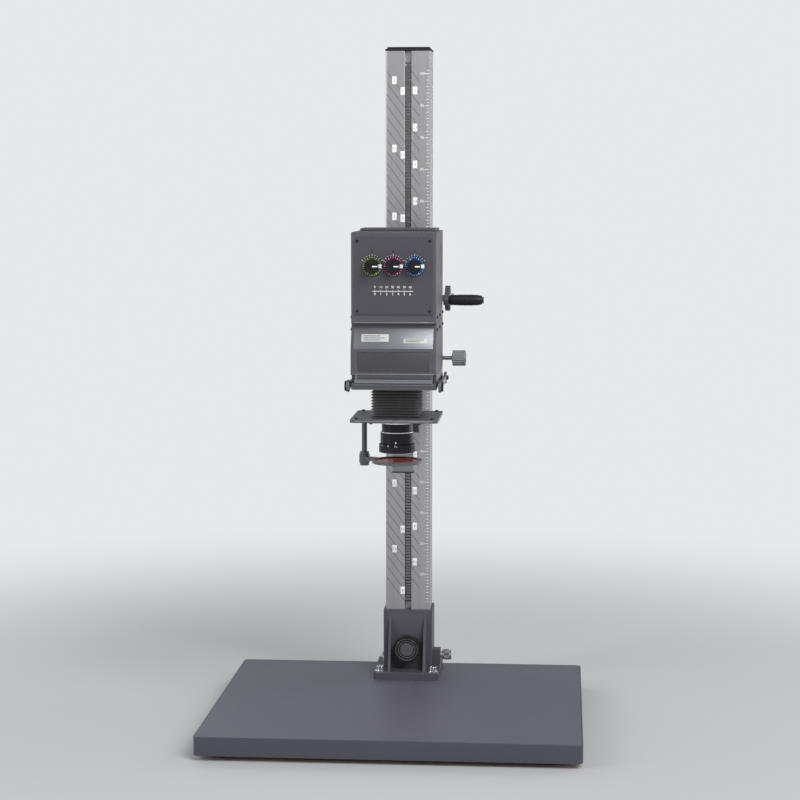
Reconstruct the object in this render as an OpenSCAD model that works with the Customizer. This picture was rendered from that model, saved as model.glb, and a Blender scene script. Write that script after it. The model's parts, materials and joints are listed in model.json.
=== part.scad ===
// Photo enlarger with a tilting colour head.
// Millimetres. X is to the right, the front faces -Y, and Z is up from the feet.

/* [Baseboard] */
// Width of the baseboard
board_w = 560; // [540:10:640]
// Depth of the baseboard
board_d = 490; // [490:10:560]
// Thickness of the baseboard with its laminate
board_t = 28; // [22:1:32]
// Height of the rubber feet
foot_h = 8; // [6:1:14]

/* [Column] */
// Width of the column profile
column_w = 72; // [70:1:72]
// Depth of the column profile
column_d = 50; // [48:1:50]
// Length of the column
column_h = 996; // [900:4:1100]
// Thickness of the column's wall
column_wall = 3; // [2:0.5:4]
// Distance from the lens axis to the column's front face
throat = 220; // [218:1:222]

/* [Head] */
// Width of the lamphouse
head_w = 125; // [122:1:125]
// Width of the square lens stage
stage_w = 130; // [120:2:132]
// Width of the film window
window_w = 72; // [56:2:76]
// Height that the lamphouse lifts off the film carrier
lift_travel = 8; // [4:1:8]

/* [Lens] */
// Outer radius of the lens barrel
barrel_r = 25; // [24:0.5:28]
// Radius of the filter thread at the lens's front
filter_thread_r = 20.25; // [18:0.25:20.5]
// Outer radius of the red filter's ring
filter_ring_r = 37.5; // [34:0.5:40]

/* [Drives] */
// Tooth module of the column rack and its pinion
column_module = 1.5; // [1.5]
// Teeth on the column pinion
pinion_teeth = 20; // [20]
// Tooth module of the focus rack and its pinion
focus_module = 0.8; // [0.8]
// Teeth on the focus pinion
focus_teeth = 15; // [15]
// Distance from the crank's shaft to its grip
crank_r = 52; // [48:1:54]

/* [Hidden] */
$fn = 64;
fit = 0.05;                      // radial clearance of a running fit
tooth_slack = 0.1;               // play on each side of a tooth

board_top = foot_h + board_t;
axis_y = -55;                    // the lens axis stands at x 0 and this y
column_front = axis_y + throat;
column_y = column_front + column_d / 2;
bracket_top = board_top + 106;
bracket_floor = 4;
column_bottom = board_top + bracket_floor;
column_top = column_bottom + column_h;
groove_w = 10;                   // the column's front groove holds the rack
groove_d = 8;
rack_w = 7;
pinion_w = 8;
slot_w = 8;                      // shallow slots down the column's sides and back
slot_d = 1.2;

knob_z = 82;                     // column clamp on the bracket
align_y = column_front + 12;     // alignment screw on the bracket's right lug
align_z = 66;

carriage_bottom = 560;
carriage_top = 700;
carriage_front = 130;
carriage_half = 46;
sleeve_gap = 1.5;                // between the carriage and the column, filled by glide pads
pinion_r = column_module * pinion_teeth / 2;
pinion_z = 647;
rack_line = column_front + 3;    // pitch line of the column rack
pinion_y = rack_line - pinion_r;
shaft_r = 5;
crank_x = 60;                    // inner face of the crank's hub
crank_t = 8;
lock_y = column_y;
lock_z = 600;

tilt_z = 600;                    // the head tilts about a spigot along Y at this height
spigot_r = 16;
frame_front = 50;
frame_back = 74;
frame_half = 44;
frame_bottom = 520;
frame_top = 690;

stage_bottom = 527;              // underside of the film stage
stage_top = stage_bottom + 10;
carrier_gap = 0.2;
house_bottom = stage_bottom + 22;
seam_z = house_bottom + 75;      // joint between the lower housing and the lamphouse
house_top = seam_z + 133;
head_front = -120;
head_back = 42;
head_half = head_w / 2;
shell_t = 2.5;
lever_y = 30;
lever_z = stage_bottom + 5;
guide_xs = [-52, 52];            // rods that guide the lamphouse as it lifts
guide_y = 48;
guide_r = 4;
lug_bottom = 568;                // lugs on the lower housing that slide on the rods
lug_h = 24;

beam_z = 675;                    // height of the lamp's horizontal beam
dial_z = 708;
dial_pitch = 31;
dial_r = 14.5;                   // skirt that carries the colour scale
filter_ys = [-18, -12, -6];      // planes of the yellow, magenta and cyan filters
filter_t = 1.2;
hinge_y = head_back + 4;

focus_x = 77;                    // inner face of the focus knob
focus_z = 560;
focus_r = focus_module * focus_teeth / 2;
focus_line = 51;                 // pitch line of the focus rack
focus_y = focus_line + focus_r;
focus_shaft_r = 3;
rail_bottom = 382;
rail_half = 16;
lens_stage_top = 483;
lens_stage_t = 5;
lens_seat = lens_stage_top - lens_stage_t - 3;
barrel_bottom = 427;
post = [-52, -25];               // the red filter swings about this post
ring_z = 411;

// ---- Shared shapes ----

// A box between two corners.
module block(low, high) {
    translate(low) cube(high - low);
}

// A rectangle with round corners, centred.
module round_rect(w, d, r) {
    square([w - 2 * r, d], center = true);
    square([w, d - 2 * r], center = true);
    for (x = [-1, 1], y = [-1, 1])
        translate([x * (w / 2 - r), y * (d / 2 - r)]) circle(r);
}

// An upright prism with round corners between two corners of a box.
module round_block(low, high, r) {
    translate([(low.x + high.x) / 2, (low.y + high.y) / 2, low.z])
        linear_extrude(high.z - low.z) round_rect(high.x - low.x, high.y - low.y, r);
}

// The same between two corners of a box, with the round corners seen along X or along Y.
module round_block_x(low, high, r) {
    translate([low.x, (low.y + high.y) / 2, (low.z + high.z) / 2]) rotate([90, 0, 90])
        linear_extrude(high.x - low.x) round_rect(high.y - low.y, high.z - low.z, r);
}

module round_plate_y(low, high, r) {
    translate([(low.x + high.x) / 2, high.y, (low.z + high.z) / 2]) rotate([90, 0, 0])
        linear_extrude(high.y - low.y) round_rect(high.x - low.x, high.z - low.z, r);
}

// Rods along each axis, given by radius, ends and the other two coordinates.
module rod_x(r, x0, x1, y, z) {
    translate([x0, y, z]) rotate([0, 90, 0]) cylinder(r = r, h = x1 - x0);
}

module rod_y(r, y0, y1, x, z) {
    translate([x, y1, z]) rotate([90, 0, 0]) cylinder(r = r, h = y1 - y0);
}

module rod_z(r, z0, z1, x, y) {
    translate([x, y, z0]) cylinder(r = r, h = z1 - z0);
}

// Stands a flat shape up: its x runs along Y, its y along Z, and it is w thick about x 0.
module stand(w) {
    rotate([90, 0, 90]) translate([0, 0, -w / 2]) linear_extrude(w) children();
}

// A knob with flutes, on +Z from 0 to h.
module fluted_knob(r, h, flutes) {
    difference() {
        cylinder(r = r, h = h);
        for (i = [0 : flutes - 1])
            rotate(i * 360 / flutes) translate([r + 1.2, 0, -1]) cylinder(r = 2, h = h - 2, $fn = 24);
    }
}

// A straight rack: teeth point along +x from the pitch line, and a gap is centred on y 0.
module rack_teeth(m, below, above, back) {
    pitch = PI * m;
    tip = pitch / 4 - tooth_slack - m * tan(20);
    root = pitch / 4 - tooth_slack + 1.25 * m * tan(20);
    teeth = [for (i = [-below : above - 1]) let (c = (i + 0.5) * pitch)
        each [[-1.25 * m, c - root], [m, c - tip], [m, c + tip], [-1.25 * m, c + root]]];
    polygon(concat([[-1.25 * m - back, -below * pitch]], [[-1.25 * m, -below * pitch]], teeth,
        [[-1.25 * m, above * pitch]], [[-1.25 * m - back, above * pitch]]));
}

function involute(angle) = tan(angle) * 180 / PI - angle;

// An involute spur gear with a tooth centred on +x.
module gear_teeth(m, teeth, steps = 5) {
    r = m * teeth / 2;
    base = r * cos(20);
    half = 90 / teeth - tooth_slack / r * 180 / PI;
    function side(radius) = half + involute(20) - involute(acos(base / radius));
    radii = [for (i = [0 : steps]) base + (r + m - base) * i / steps];
    root = r - 1.25 * m;
    polygon([for (t = [0 : teeth - 1]) let (c = t * 360 / teeth) each concat(
        [root * [cos(c - side(base)), sin(c - side(base))]],
        [for (q = radii) q * [cos(c - side(q)), sin(c - side(q))]],
        [for (i = [steps : -1 : 0]) let (q = radii[i]) q * [cos(c + side(q)), sin(c + side(q))]],
        [root * [cos(c + side(base)), sin(c + side(base))]])]);
}

// ---- Baseboard and column ----

module board_outline(inset) {
    round_rect(board_w - 2 * inset, board_d - 2 * inset, 8 - inset);
}

module feet() {
    color("#1a1a1c")
        for (x = [-1, 1], y = [-1, 1])
            translate([x * (board_w / 2 - 40), y * (board_d / 2 - 40), 0])
                cylinder(r1 = 14, r2 = 16, h = foot_h);
}

// Places of the bolts that hold the bracket down.
bolt_places = [[-42, 132], [42, 132], [-42, 233], [42, 233]];

module baseboard() {
    color("#9a8a72") difference() {
        translate([0, 0, foot_h]) linear_extrude(board_t - 1) board_outline(2);
        for (p = bolt_places) rod_z(4.2, foot_h - 1, board_top, p.x, p.y);
    }
}

module board_laminate() {
    color("#5c5c66") difference() {
        translate([0, 0, board_top - 1]) linear_extrude(1) board_outline(2);
        for (p = bolt_places) rod_z(4.2, foot_h, board_top + 1, p.x, p.y);
    }
}

module edge_band() {
    color("#4a4a54") translate([0, 0, foot_h]) linear_extrude(board_t) difference() {
        board_outline(0);
        board_outline(2);
    }
}

module column_bracket() {
    sleeve = 3.5;
    half_w = column_w / 2 + sleeve;
    color("#4c4b54") difference() {
        union() {
            round_block([-52.5, 118, board_top], [52.5, 243, board_top + 12], 8);
            round_block([-half_w, column_front - 7, board_top],
                [half_w, column_front + column_d + 7, bracket_top], 4);
            rod_y(16, column_front - 15, column_front - 6, 0, knob_z);
            block([half_w - 1, align_y - 9, board_top + 10], [52, align_y + 9, align_z + 10]);
            for (x = [-30, 26]) translate([x, 0, 0]) stand_web();
        }
        block([-column_w / 2 - 0.1, column_front - 0.1, column_bottom],
            [column_w / 2 + 0.1, column_front + column_d + 0.1, bracket_top + 1]);
        rod_y(5 + fit, column_front - 16, column_front + 1, 0, knob_z);
        rod_x(5 + fit, 35, 53, align_y, align_z);
        for (p = bolt_places) rod_z(4.2, board_top - 1, board_top + 13, p.x, p.y);
    }
}

// Gusset in front of the bracket's sleeve, 4 thick.
module stand_web() {
    translate([2, 0, 0]) stand(4) polygon([
        [column_front - 40, board_top + 11], [column_front - 6, board_top + 11],
        [column_front - 6, bracket_top - 4]]);
}

module bracket_bolts() {
    color("#b8bac0") {
        for (p = bolt_places) {
            rod_z(4, foot_h + 4, board_top + 12, p.x, p.y);
            difference() {
                rod_z(6.5, board_top + 12, board_top + 20, p.x, p.y);
                translate([p.x, p.y, board_top + 15.5]) cylinder(r = 3.4, h = 5, $fn = 6);
            }
        }
        // The alignment screw has a plain head, bright and easy to grip.
        rod_x(5, 36.5, 55, align_y, align_z);
        rod_x(8, 55, 70, align_y, align_z);
    }
}

module column_profile() {
    difference() {
        round_rect(column_w, column_d, 3);
        translate([-groove_w / 2, -column_d / 2 - 1]) square([groove_w, groove_d + 1]);
        difference() {
            round_rect(column_w - 2 * column_wall, column_d - 2 * column_wall, 1.5);
            translate([-groove_w / 2 - column_wall, -column_d / 2])
                square([groove_w + 2 * column_wall, groove_d + column_wall]);
        }
        for (x = [-1, 1])
            translate([x * column_w / 2, 0]) square([2 * slot_d, slot_w], center = true);
        for (x = [-1, 1])
            translate([x * column_w / 4, column_d / 2]) square([slot_w, 2 * slot_d], center = true);
    }
}

module column() {
    color("#8d8c92") translate([0, column_y, column_bottom]) linear_extrude(column_h) column_profile();
}

module column_rack() {
    pitch = PI * column_module;
    below = floor((pinion_z - bracket_top - 8) / pitch);
    above = floor((column_top - 16 - pinion_z) / pitch);
    color("#6c6c73") translate([0, rack_line, pinion_z]) mirror([0, 1, 0]) stand(rack_w)
        rack_teeth(column_module, below, above,
            groove_d - (rack_line - column_front) - 1.25 * column_module);
}

module column_cap() {
    color("#1d1d20") translate([0, column_y, column_top]) {
        linear_extrude(3) round_rect(column_w + 2, column_d + 2, 4);
        translate([0, 0, 3]) linear_extrude(3) round_rect(column_w - 4, column_d - 4, 4);
        translate([0, 4, -14]) linear_extrude(14) round_rect(column_w - 14, column_d - 24, 2);
    }
}

module clamp_knob() {
    color("#2a2a2e") {
        rod_y(5, column_front - 16, column_front - 0.6, 0, knob_z);
        translate([0, column_front - 15.5, knob_z]) rotate([90, 0, 0]) fluted_knob(21, 14, 18);
    }
}

// ---- Carriage and its drive ----

module carriage_housing() {
    gap = sleeve_gap;
    color("#3b3b42") difference() {
        union() {
            round_block([-carriage_half, carriage_front, carriage_bottom],
                [carriage_half, column_front + column_d + 12, carriage_top], 5);
            rod_x(15, -carriage_half - 4, -carriage_half + 2, lock_y, lock_z);
        }
        block([-column_w / 2 - gap, column_front - gap, carriage_bottom - 1],
            [column_w / 2 + gap, column_front + column_d + gap, carriage_top + 1]);
        block([-9, pinion_y - pinion_r - 2.5, pinion_z - 19], [9, column_front, pinion_z + 19]);
        rod_x(8, -carriage_half - 1, carriage_half + 1, pinion_y, pinion_z);
        rod_x(4 + fit, -carriage_half - 5, -column_w / 2, lock_y, lock_z);
        for (z = [carriage_bottom + 14, carriage_top - 14], x = [-26, 26])
            rod_y(2.5, column_front + column_d, column_front + column_d + 13, x, z);
        carriage_panels();
    }
}

// Shallow panels sunk into the carriage's sides and back.
module carriage_panels() {
    sink = 2;
    back = column_front + column_d + 12;
    for (x = [-1, 1]) {
        low = x > 0 ? carriage_half - sink : -carriage_half - 1;
        high = x > 0 ? carriage_half + 1 : -carriage_half + sink;
        round_block_x([low, carriage_front + 7, carriage_bottom + 7], [high, lock_y - 22, pinion_z - 17], 4);
        round_block_x([low, pinion_y + 18, lock_z + 22], [high, back - 7, carriage_top - 7], 4);
    }
    round_plate_y([-17, back - sink, carriage_bottom + 24], [17, back + 1, carriage_top - 24], 4);
}

module glide_pads() {
    thick = sleeve_gap - fit;
    half = column_w / 2;
    back = column_front + column_d;
    color("#e6e4da")
        for (z = [carriage_bottom + 2, carriage_top - 32]) for (x = [-1, 1]) {
            block([x > 0 ? 14 : -33, column_front - sleeve_gap, z],
                [x > 0 ? 33 : -14, column_front - fit, z + 30]);
            block([x > 0 ? 4 : -30, back + fit, z], [x > 0 ? 30 : -4, back + sleeve_gap, z + 30]);
            for (y = [column_y - 20, column_y + 6])
                block([x > 0 ? half + fit : -half - fit - thick, y, z],
                    [x > 0 ? half + fit + thick : -half - fit, y + 14, z + 30]);
        }
}

module shaft_bushes() {
    color("#b3843c") for (x = [-1, 1]) difference() {
        union() {
            rod_x(8, min(x * 16, x * carriage_half), max(x * 16, x * carriage_half), pinion_y, pinion_z);
            rod_x(11, x > 0 ? carriage_half : -carriage_half - 2, x > 0 ? carriage_half + 2 : -carriage_half,
                pinion_y, pinion_z);
        }
        rod_x(shaft_r + fit, -60, 60, pinion_y, pinion_z);
    }
}

module tilt_pivot() {
    color("#9fa1a6") {
        rod_y(spigot_r, frame_back + 6, carriage_front, 0, tilt_z);
        rod_y(30, carriage_front - 2, carriage_front, 0, tilt_z);
    }
}

module pinion_shaft() {
    color("#a9abb0") {
        rod_x(shaft_r, -carriage_half - 8, crank_x + crank_t, pinion_y, pinion_z);
        rod_x(9, -carriage_half - 8, -carriage_half - 2 - fit, pinion_y, pinion_z);
    }
}

module drive_pinion() {
    color("#8b7440") difference() {
        translate([0, pinion_y, pinion_z]) stand(pinion_w) gear_teeth(column_module, pinion_teeth);
        rod_x(shaft_r, -pinion_w, pinion_w, pinion_y, pinion_z);
    }
}

module crank_arm() {
    grip_y = pinion_y - crank_r;
    color("#38383e") difference() {
        union() {
            rod_x(20, crank_x, crank_x + crank_t, pinion_y, pinion_z);
            block([crank_x, grip_y, pinion_z - 8], [crank_x + crank_t, pinion_y, pinion_z + 8]);
            rod_x(8, crank_x, crank_x + crank_t, grip_y, pinion_z);
        }
        rod_x(shaft_r, crank_x - 1, crank_x + crank_t + 1, pinion_y, pinion_z);
        rod_x(3, crank_x - 1, crank_x + crank_t + 1, grip_y, pinion_z);
    }
    color("#b8bac0") {
        rod_x(3, crank_x, crank_x + crank_t + 53, grip_y, pinion_z);
        rod_x(5.5, crank_x + crank_t + 53, crank_x + crank_t + 55, grip_y, pinion_z);
    }
}

module crank_grip() {
    length = 52;
    color("#161618") translate([crank_x + crank_t + 0.5, pinion_y - crank_r, pinion_z])
        rotate([0, 90, 0]) rotate_extrude() polygon([
            [3 + fit, 0], [7, 0], [8, 4], [8.5, 20], [8.5, 36], [8, 46], [6.5, length], [3 + fit, length]]);
}

module height_lock_knob() {
    color("#222226") {
        rod_x(4, -carriage_half - 5, -column_w / 2 - 0.5, lock_y, lock_z);
        translate([-carriage_half - 4.5, lock_y, lock_z]) rotate([0, -90, 0]) fluted_knob(17, 18, 12);
    }
}

// ---- Tilting head frame, film stage and focus rail ----

module head_frame() {
    color("#34343a") difference() {
        union() {
            round_block([-frame_half, frame_front, frame_bottom], [frame_half, frame_back, frame_top], 4);
            rod_y(32, frame_back - 1, carriage_front - 2.1, 0, tilt_z);
        }
        // Bore for the tilting spigot, and the lock screw's hole into it.
        rod_y(spigot_r + fit, frame_back + 5, carriage_front, 0, tilt_z);
        rod_x(4 + fit, -33, 0, 102, tilt_z);
        // Groove for the focus rack, pocket and bore for its pinion.
        block([-5, frame_front - 1, frame_bottom - 1], [5, focus_line + 2, frame_top + 1]);
        block([-8, frame_front - 1, focus_z - 8.5], [8, focus_y + 8.5, focus_z + 8.5]);
        rod_x(focus_shaft_r + fit, -frame_half - 1, frame_half + 1, focus_y, focus_z);
        // Seat for the top of the focus rail.
        block([-rail_half, 56, frame_bottom - 1], [rail_half, 64, frame_bottom + 28]);
        // Lightening pockets in the back.
        for (x = [-1, 1], z = [531, 649])
            block([x > 0 ? 12 : -36, frame_back - 8, z], [x > 0 ? 36 : -12, frame_back + 1, z + 30]);
    }
}

module negative_stage() {
    color("#3c3c42") difference() {
        union() {
            round_block([-head_half, head_front, stage_bottom], [head_half, frame_front, stage_top], 3);
            for (x = [-1, 1]) {
                block([x > 0 ? 58 : -head_half, head_front + 10, stage_top - 1],
                    [x > 0 ? head_half : -58, 38, house_bottom - 0.5]);
                block([x > 0 ? 45 : -head_half, 40, stage_bottom], [x > 0 ? head_half : -45, 56, stage_top]);
            }
        }
        translate([0, axis_y, stage_bottom - 1]) linear_extrude(12) round_rect(window_w, window_w, 3);
        block([-8, 43, stage_bottom - 1], [8, 60, stage_top + 1]);
        rod_x(3 + fit, -head_half - 1, head_half + 1, lever_y, lever_z);
    }
}

module guide_rods() {
    color("#b8bac0") for (x = guide_xs)
        rod_z(guide_r, stage_top, lug_bottom + lug_h + lift_travel + 3, x, guide_y);
}

module focus_rail() {
    color("#9a9ca2") block([-rail_half, 56, rail_bottom], [rail_half, 64, frame_bottom + 28]);
}

// Square pleats stacked between the lens stage and the film stage.
module bellows() {
    pleats = 8;
    step = (stage_bottom - lens_stage_top) / (2 * pleats);
    color("#17171a") translate([0, axis_y, lens_stage_top]) difference() {
        for (i = [0 : 2 * pleats - 1])
            translate([0, 0, i * step]) linear_extrude(step) square(i % 2 == 0 ? 64 : 74, center = true);
        translate([0, 0, -1]) linear_extrude(stage_bottom - lens_stage_top + 2) square(58, center = true);
    }
}

module tilt_lock_knob() {
    color("#222226") {
        rod_x(4, -36, -spigot_r - 0.5, 102, tilt_z);
        translate([-34, 102, tilt_z]) rotate([0, -90, 0]) fluted_knob(14, 20, 12);
    }
}

// ---- Lamphouse ----

module lamphouse_shell() {
    mid_y = (head_front + head_back) / 2;
    depth = head_back - head_front;
    color("#4b4951") difference() {
        union() {
            round_block([-head_half, head_front, seam_z], [head_half, head_back, house_top], 5);
            for (x = [-48, 30]) {
                block([x, head_back - 1, house_top - 3.5], [x + 18, hinge_y, house_top]);
                rod_x(3.5, x, x + 18, hinge_y, house_top);
            }
        }
        translate([0, mid_y, seam_z - 1]) linear_extrude(house_top - seam_z - shell_t + 1)
            round_rect(head_w - 2 * shell_t, depth - 2 * shell_t, 2.5);
        round_block([-52, -30, house_top - 5], [52, 34, house_top + 1], 3);
        for (x = [-1 : 1]) rod_y(4 + fit, head_front - 1, head_front + 4, x * dial_pitch, dial_z);
        block([12, head_back - 4, 705], [40, head_back + 1, 727]);
        // Cooling slots in both sides and the back.
        for (i = [0 : 6], x = [-1, 1])
            block([x > 0 ? head_half - 4 : -head_half - 1, -24 + 8 * i, 690],
                [x > 0 ? head_half + 1 : -head_half + 4, -20 + 8 * i, 738]);
        for (i = [0 : 4]) block([-50 + 9 * i, head_back - 4, 696], [-46 + 9 * i, head_back + 1, 738]);
        rod_x(1.5 + fit, -60, 60, hinge_y, house_top);
    }
    color("#b8bac0") rod_x(1.5, -48, 48, hinge_y, house_top);
}

// Side outline of the lower housing, drawn t inside its outer face.
module housing_side(t) {
    front = head_front - 6;
    slope_low = seam_z - 38;
    slope_top = seam_z - 5;
    polygon([
        [front + t, house_bottom + t], [front + t, slope_low - t / 3], [front + 14 + t, slope_top],
        [front + 14 + t, seam_z], [head_back - t, seam_z], [head_back - t, house_bottom + t]]);
}

module lower_housing() {
    color("#46464e") difference() {
        union() {
            stand(head_w) housing_side(0);
            for (x = [-1, 1])
                round_block([x > 0 ? 45.5 : -58, head_back - 1, lug_bottom],
                    [x > 0 ? 58 : -45.5, 53.5, lug_bottom + lug_h], 1);
        }
        difference() {
            stand(head_w - 6) housing_side(3);
            // The floor carries the diffuser round the film window.
            block([-70, -130, house_bottom - 1], [70, 50, house_bottom + 3]);
        }
        // Open top, where the lamphouse stands, and the shallow recess across the front.
        block([-head_half + 3, head_front + 11, seam_z - 10], [head_half - 3, head_back - 3, seam_z + 1]);
        block([-head_half + 10, head_front - 7, house_bottom + 4],
            [head_half - 10, head_front - 4.8, seam_z - 41]);
        translate([0, axis_y, house_bottom - 1]) linear_extrude(5) round_rect(window_w + 8, window_w + 8, 3);
        for (x = guide_xs) rod_z(guide_r + fit, lug_bottom - 5, lug_bottom + lug_h + 5, x, guide_y);
    }
}

module control_panel() {
    color("#26262a") difference() {
        translate([0, head_front, (house_top + seam_z) / 2 + 3]) rotate([90, 0, 0])
            linear_extrude(2) round_rect(head_w - 9, 112, 3);
        for (x = [-1 : 1]) rod_y(4 + fit, head_front - 3, head_front + 1, x * dial_pitch, dial_z);
    }
}

module lamp_chassis() {
    half = head_half - shell_t;
    floor_z = seam_z + 2;
    color("#a7a9ad") difference() {
        union() {
            round_block([-half, head_front + shell_t, floor_z],
                [half, head_back - shell_t, floor_z + 2], 2.5);
            for (x = [-1, 1])
                block([x > 0 ? 34 : -36, -92, floor_z], [x > 0 ? 36 : -34, -26, 706]);
        }
        translate([0, axis_y, floor_z - 1]) linear_extrude(4) round_rect(62, 60, 2);
    }
}

// A mirror at 45 degrees turns the lamp's beam down into the mixing box.
module light_mirror() {
    color("#cfd3d6") translate([0, axis_y, beam_z]) rotate([45, 0, 0])
        block([-34, -40, 0], [34, 38, 3]);
}

module mixing_box() {
    color("#efeee8") translate([0, axis_y, house_bottom + 7]) linear_extrude(62) difference() {
        round_rect(96, 92, 3);
        round_rect(84, 80, 3);
    }
}

module diffuser() {
    color("#f4f4ee") translate([0, axis_y, house_bottom + 3.5]) linear_extrude(3) round_rect(98, 96, 2);
}

module heat_glass() {
    color("#bfe3dc") block([-24, -2, 650], [24, 0, 700]);
}

module filter_guides() {
    color("#2c2c30") difference() {
        block([-24, -22, seam_z + 4], [59, -2, 700]);
        block([-20, -23, 655], [57, -1, 695]);
        for (y = filter_ys) block([-20, y - 0.8, 652], [57, y + 0.8, 698]);
    }
}

module dichroic_filter(i) {
    y = filter_ys[i];
    block([18, y - filter_t / 2, 652.2], [56, y + filter_t / 2, 697.8]);
}

module yellow_filter() { color("#e8d23a") dichroic_filter(0); }
module magenta_filter() { color("#c8358c") dichroic_filter(1); }
module cyan_filter() { color("#2fb0cf") dichroic_filter(2); }

module lamp_reflector() {
    color("#d9dbde") translate([0, 2, beam_z]) rotate([-90, 0, 0]) rotate_extrude()
        polygon(concat([[26, 0], [24.5, 0]],
            [for (a = [10 : 10 : 70]) [24.5 * cos(a), 22 * sin(a)]],
            [[6, 21.5], [6, 30], [8, 30], [8, 24]],
            [for (a = [70 : -10 : 10]) [26 * cos(a), 23.5 * sin(a)]]));
}

module halogen_lamp() {
    color("#f7f3e2") rod_y(5, 9, 24, 0, beam_z);
    color("#f7f3e2") rod_y(5.8, 24, 33, 0, beam_z);
}

module lamp_socket() {
    color("#e9e6dc") difference() {
        block([-13, 29, beam_z - 11], [13, head_back - shell_t, beam_z + 11]);
        rod_y(8, 28, 32.1, 0, beam_z);
        rod_y(6, 30, 36, 0, beam_z);
    }
}

module power_inlet() {
    color("#141416") difference() {
        union() {
            block([12, 26, 705], [40, head_back, 727]);
            round_plate_y([9, head_back, 702], [43, head_back + 3, 730], 3);
        }
        block([16, 30, 708], [36, head_back + 4, 724]);
    }
    color("#c9cacd") for (x = [20, 26, 32])
        block([x - 1, 28, x == 26 ? 717 : 710], [x + 1, head_back - 1, x == 26 ? 722 : 715]);
}

module lamp_cover() {
    color("#45444c") difference() {
        union() {
            round_block([-57, -38, house_top + 0.3], [57, head_back, house_top + 4], 3);
            difference() {
                round_block([-51, -29, house_top - 6], [51, 33, house_top + 1], 3);
                round_block([-49, -27, house_top - 7], [49, 31, house_top + 0.2], 2);
            }
            block([-28, head_back - 2, house_top + 0.3], [28, hinge_y, house_top + 3.5]);
            rod_x(3.5, -29, 29, hinge_y, house_top);
        }
        rod_x(1.5 + fit, -60, 60, hinge_y, house_top);
        for (i = [0 : 5]) block([-40, -24 + 9 * i, house_top - 1], [40, -20 + 9 * i, house_top + 5]);
    }
}

module dial(i) {
    x = (i - 1) * dial_pitch;
    difference() {
        union() {
            rod_y(4, head_front - 3, head_front + 8, x, dial_z);
            rod_y(dial_r, head_front - 5, head_front - 2.5, x, dial_z);
            translate([x, head_front - 4, dial_z]) rotate([90, 0, 0]) fluted_knob(dial_r - 5, 15, 14);
        }
        // Slot for the white pointer.
        block([x + 1.5, head_front - 20, dial_z - 1], [x + dial_r, head_front - 18.2, dial_z + 1]);
    }
}

module yellow_dial() { color("#232326") dial(0); }
module magenta_dial() { color("#232326") dial(1); }
module cyan_dial() { color("#232326") dial(2); }

// ---- Film carrier and its lever ----

module lift_lever() {
    color("#77787e") {
        rod_x(3, -head_half - 6, head_half + 6, lever_y, lever_z);
        for (x = [-1, 1]) {
            low = x > 0 ? head_half + 3 : -head_half - 7;
            high = x > 0 ? head_half + 7 : -head_half - 3;
            rod_x(9, low, high, lever_y, lever_z);
            block([low, head_front + 8, lever_z - 5], [high, lever_y, lever_z + 5]);
            rod_x(9, low, high, head_front + 8, lever_z);
        }
    }
}

module film_frame(z0, z1, front) {
    difference() {
        round_block([-57.5, front, z0], [57.5, 24, z1], 3);
        translate([0, axis_y, z0 - 1]) linear_extrude(z1 - z0 + 2) round_rect(69, 56, 1);
    }
}

module carrier_bottom() {
    split = stage_top + 5.6;
    color("#9b9ca2") {
        film_frame(stage_top + carrier_gap, split, head_front - 4);
        for (x = [-45, 45]) rod_z(2, split, split + 3, x, 12);
    }
}

module carrier_top() {
    split = stage_top + 5.6;
    color("#8a8b91") difference() {
        film_frame(split, house_bottom - carrier_gap, head_front + 4);
        for (x = [-45, 45]) rod_z(2 + fit, split - 1, split + 3.4, x, 12);
    }
}

// ---- Focusing lens stage ----

module focus_slide() {
    color("#3a3a40") difference() {
        round_block([-26, 44, 445], [26, 72, 495], 3);
        block([-rail_half - fit, 56 - fit, 444], [rail_half + fit, 64 + fit, 496]);
        block([-4, 43, 444], [4, focus_line + 2, 496]);
    }
}

module focus_rack() {
    pitch = PI * focus_module;
    below = floor((focus_z - 445) / pitch);
    above = floor((632 - focus_z) / pitch);
    color("#a9a27c") translate([0, focus_line, focus_z]) stand(8)
        rack_teeth(focus_module, below, above, 4);
}

module lens_stage() {
    low = lens_stage_top - lens_stage_t;
    color("#4d4d51") difference() {
        union() {
            round_block([-stage_w / 2, axis_y - stage_w / 2, low],
                [stage_w / 2, axis_y + stage_w / 2, lens_stage_top], 6);
            round_block([-22, 5, low - 6], [22, 44, lens_stage_top], 1);
        }
        rod_z(34, low - 1, lens_stage_top + 1, 0, axis_y);
        block([-5, 41, low - 7], [5, 45, lens_stage_top + 1]);
    }
    color("#b8bac0") {
        rod_z(4, ring_z - 6, low, post.x, post.y);
        rod_z(7, ring_z - 8, ring_z - 4 - fit, post.x, post.y);
        rod_z(7, ring_z + 9 + fit, ring_z + 13, post.x, post.y);
    }
}

module lens_board() {
    color("#55555b") difference() {
        translate([0, axis_y, lens_seat]) linear_extrude(3) round_rect(84, 84, 4);
        rod_z(19.5, lens_seat - 1, lens_seat + 4, 0, axis_y);
    }
}

module lens_barrel() {
    r = barrel_r;
    z = barrel_bottom;
    top = lens_seat + 6;
    color("#18181b") translate([0, axis_y, 0]) rotate_extrude() polygon([
        [filter_thread_r, z], [22, z], [22, z + 14], [r - 0.5, z + 14], [r, z + 14.5], [r, z + 30],
        [r - 2, z + 32], [r - 2, lens_seat], [19.4, lens_seat], [19.4, top], [17, top],
        [17, z + 5], [filter_thread_r, z + 5]]);
}

// One lens element: a disc with a spherical bulge on both faces.
module element(z, r, thick) {
    ball = 42;
    translate([0, axis_y, z]) intersection() {
        rod_z(r, -thick, thick, 0, 0);
        translate([0, 0, thick - ball]) sphere(ball);
        translate([0, 0, ball - thick]) sphere(ball);
    }
}

module lens_glass() {
    color("#3a4a66") {
        element(barrel_bottom + 12, 16.9, 5);
        element(barrel_bottom + 38, 16.9, 5);
    }
}

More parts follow.
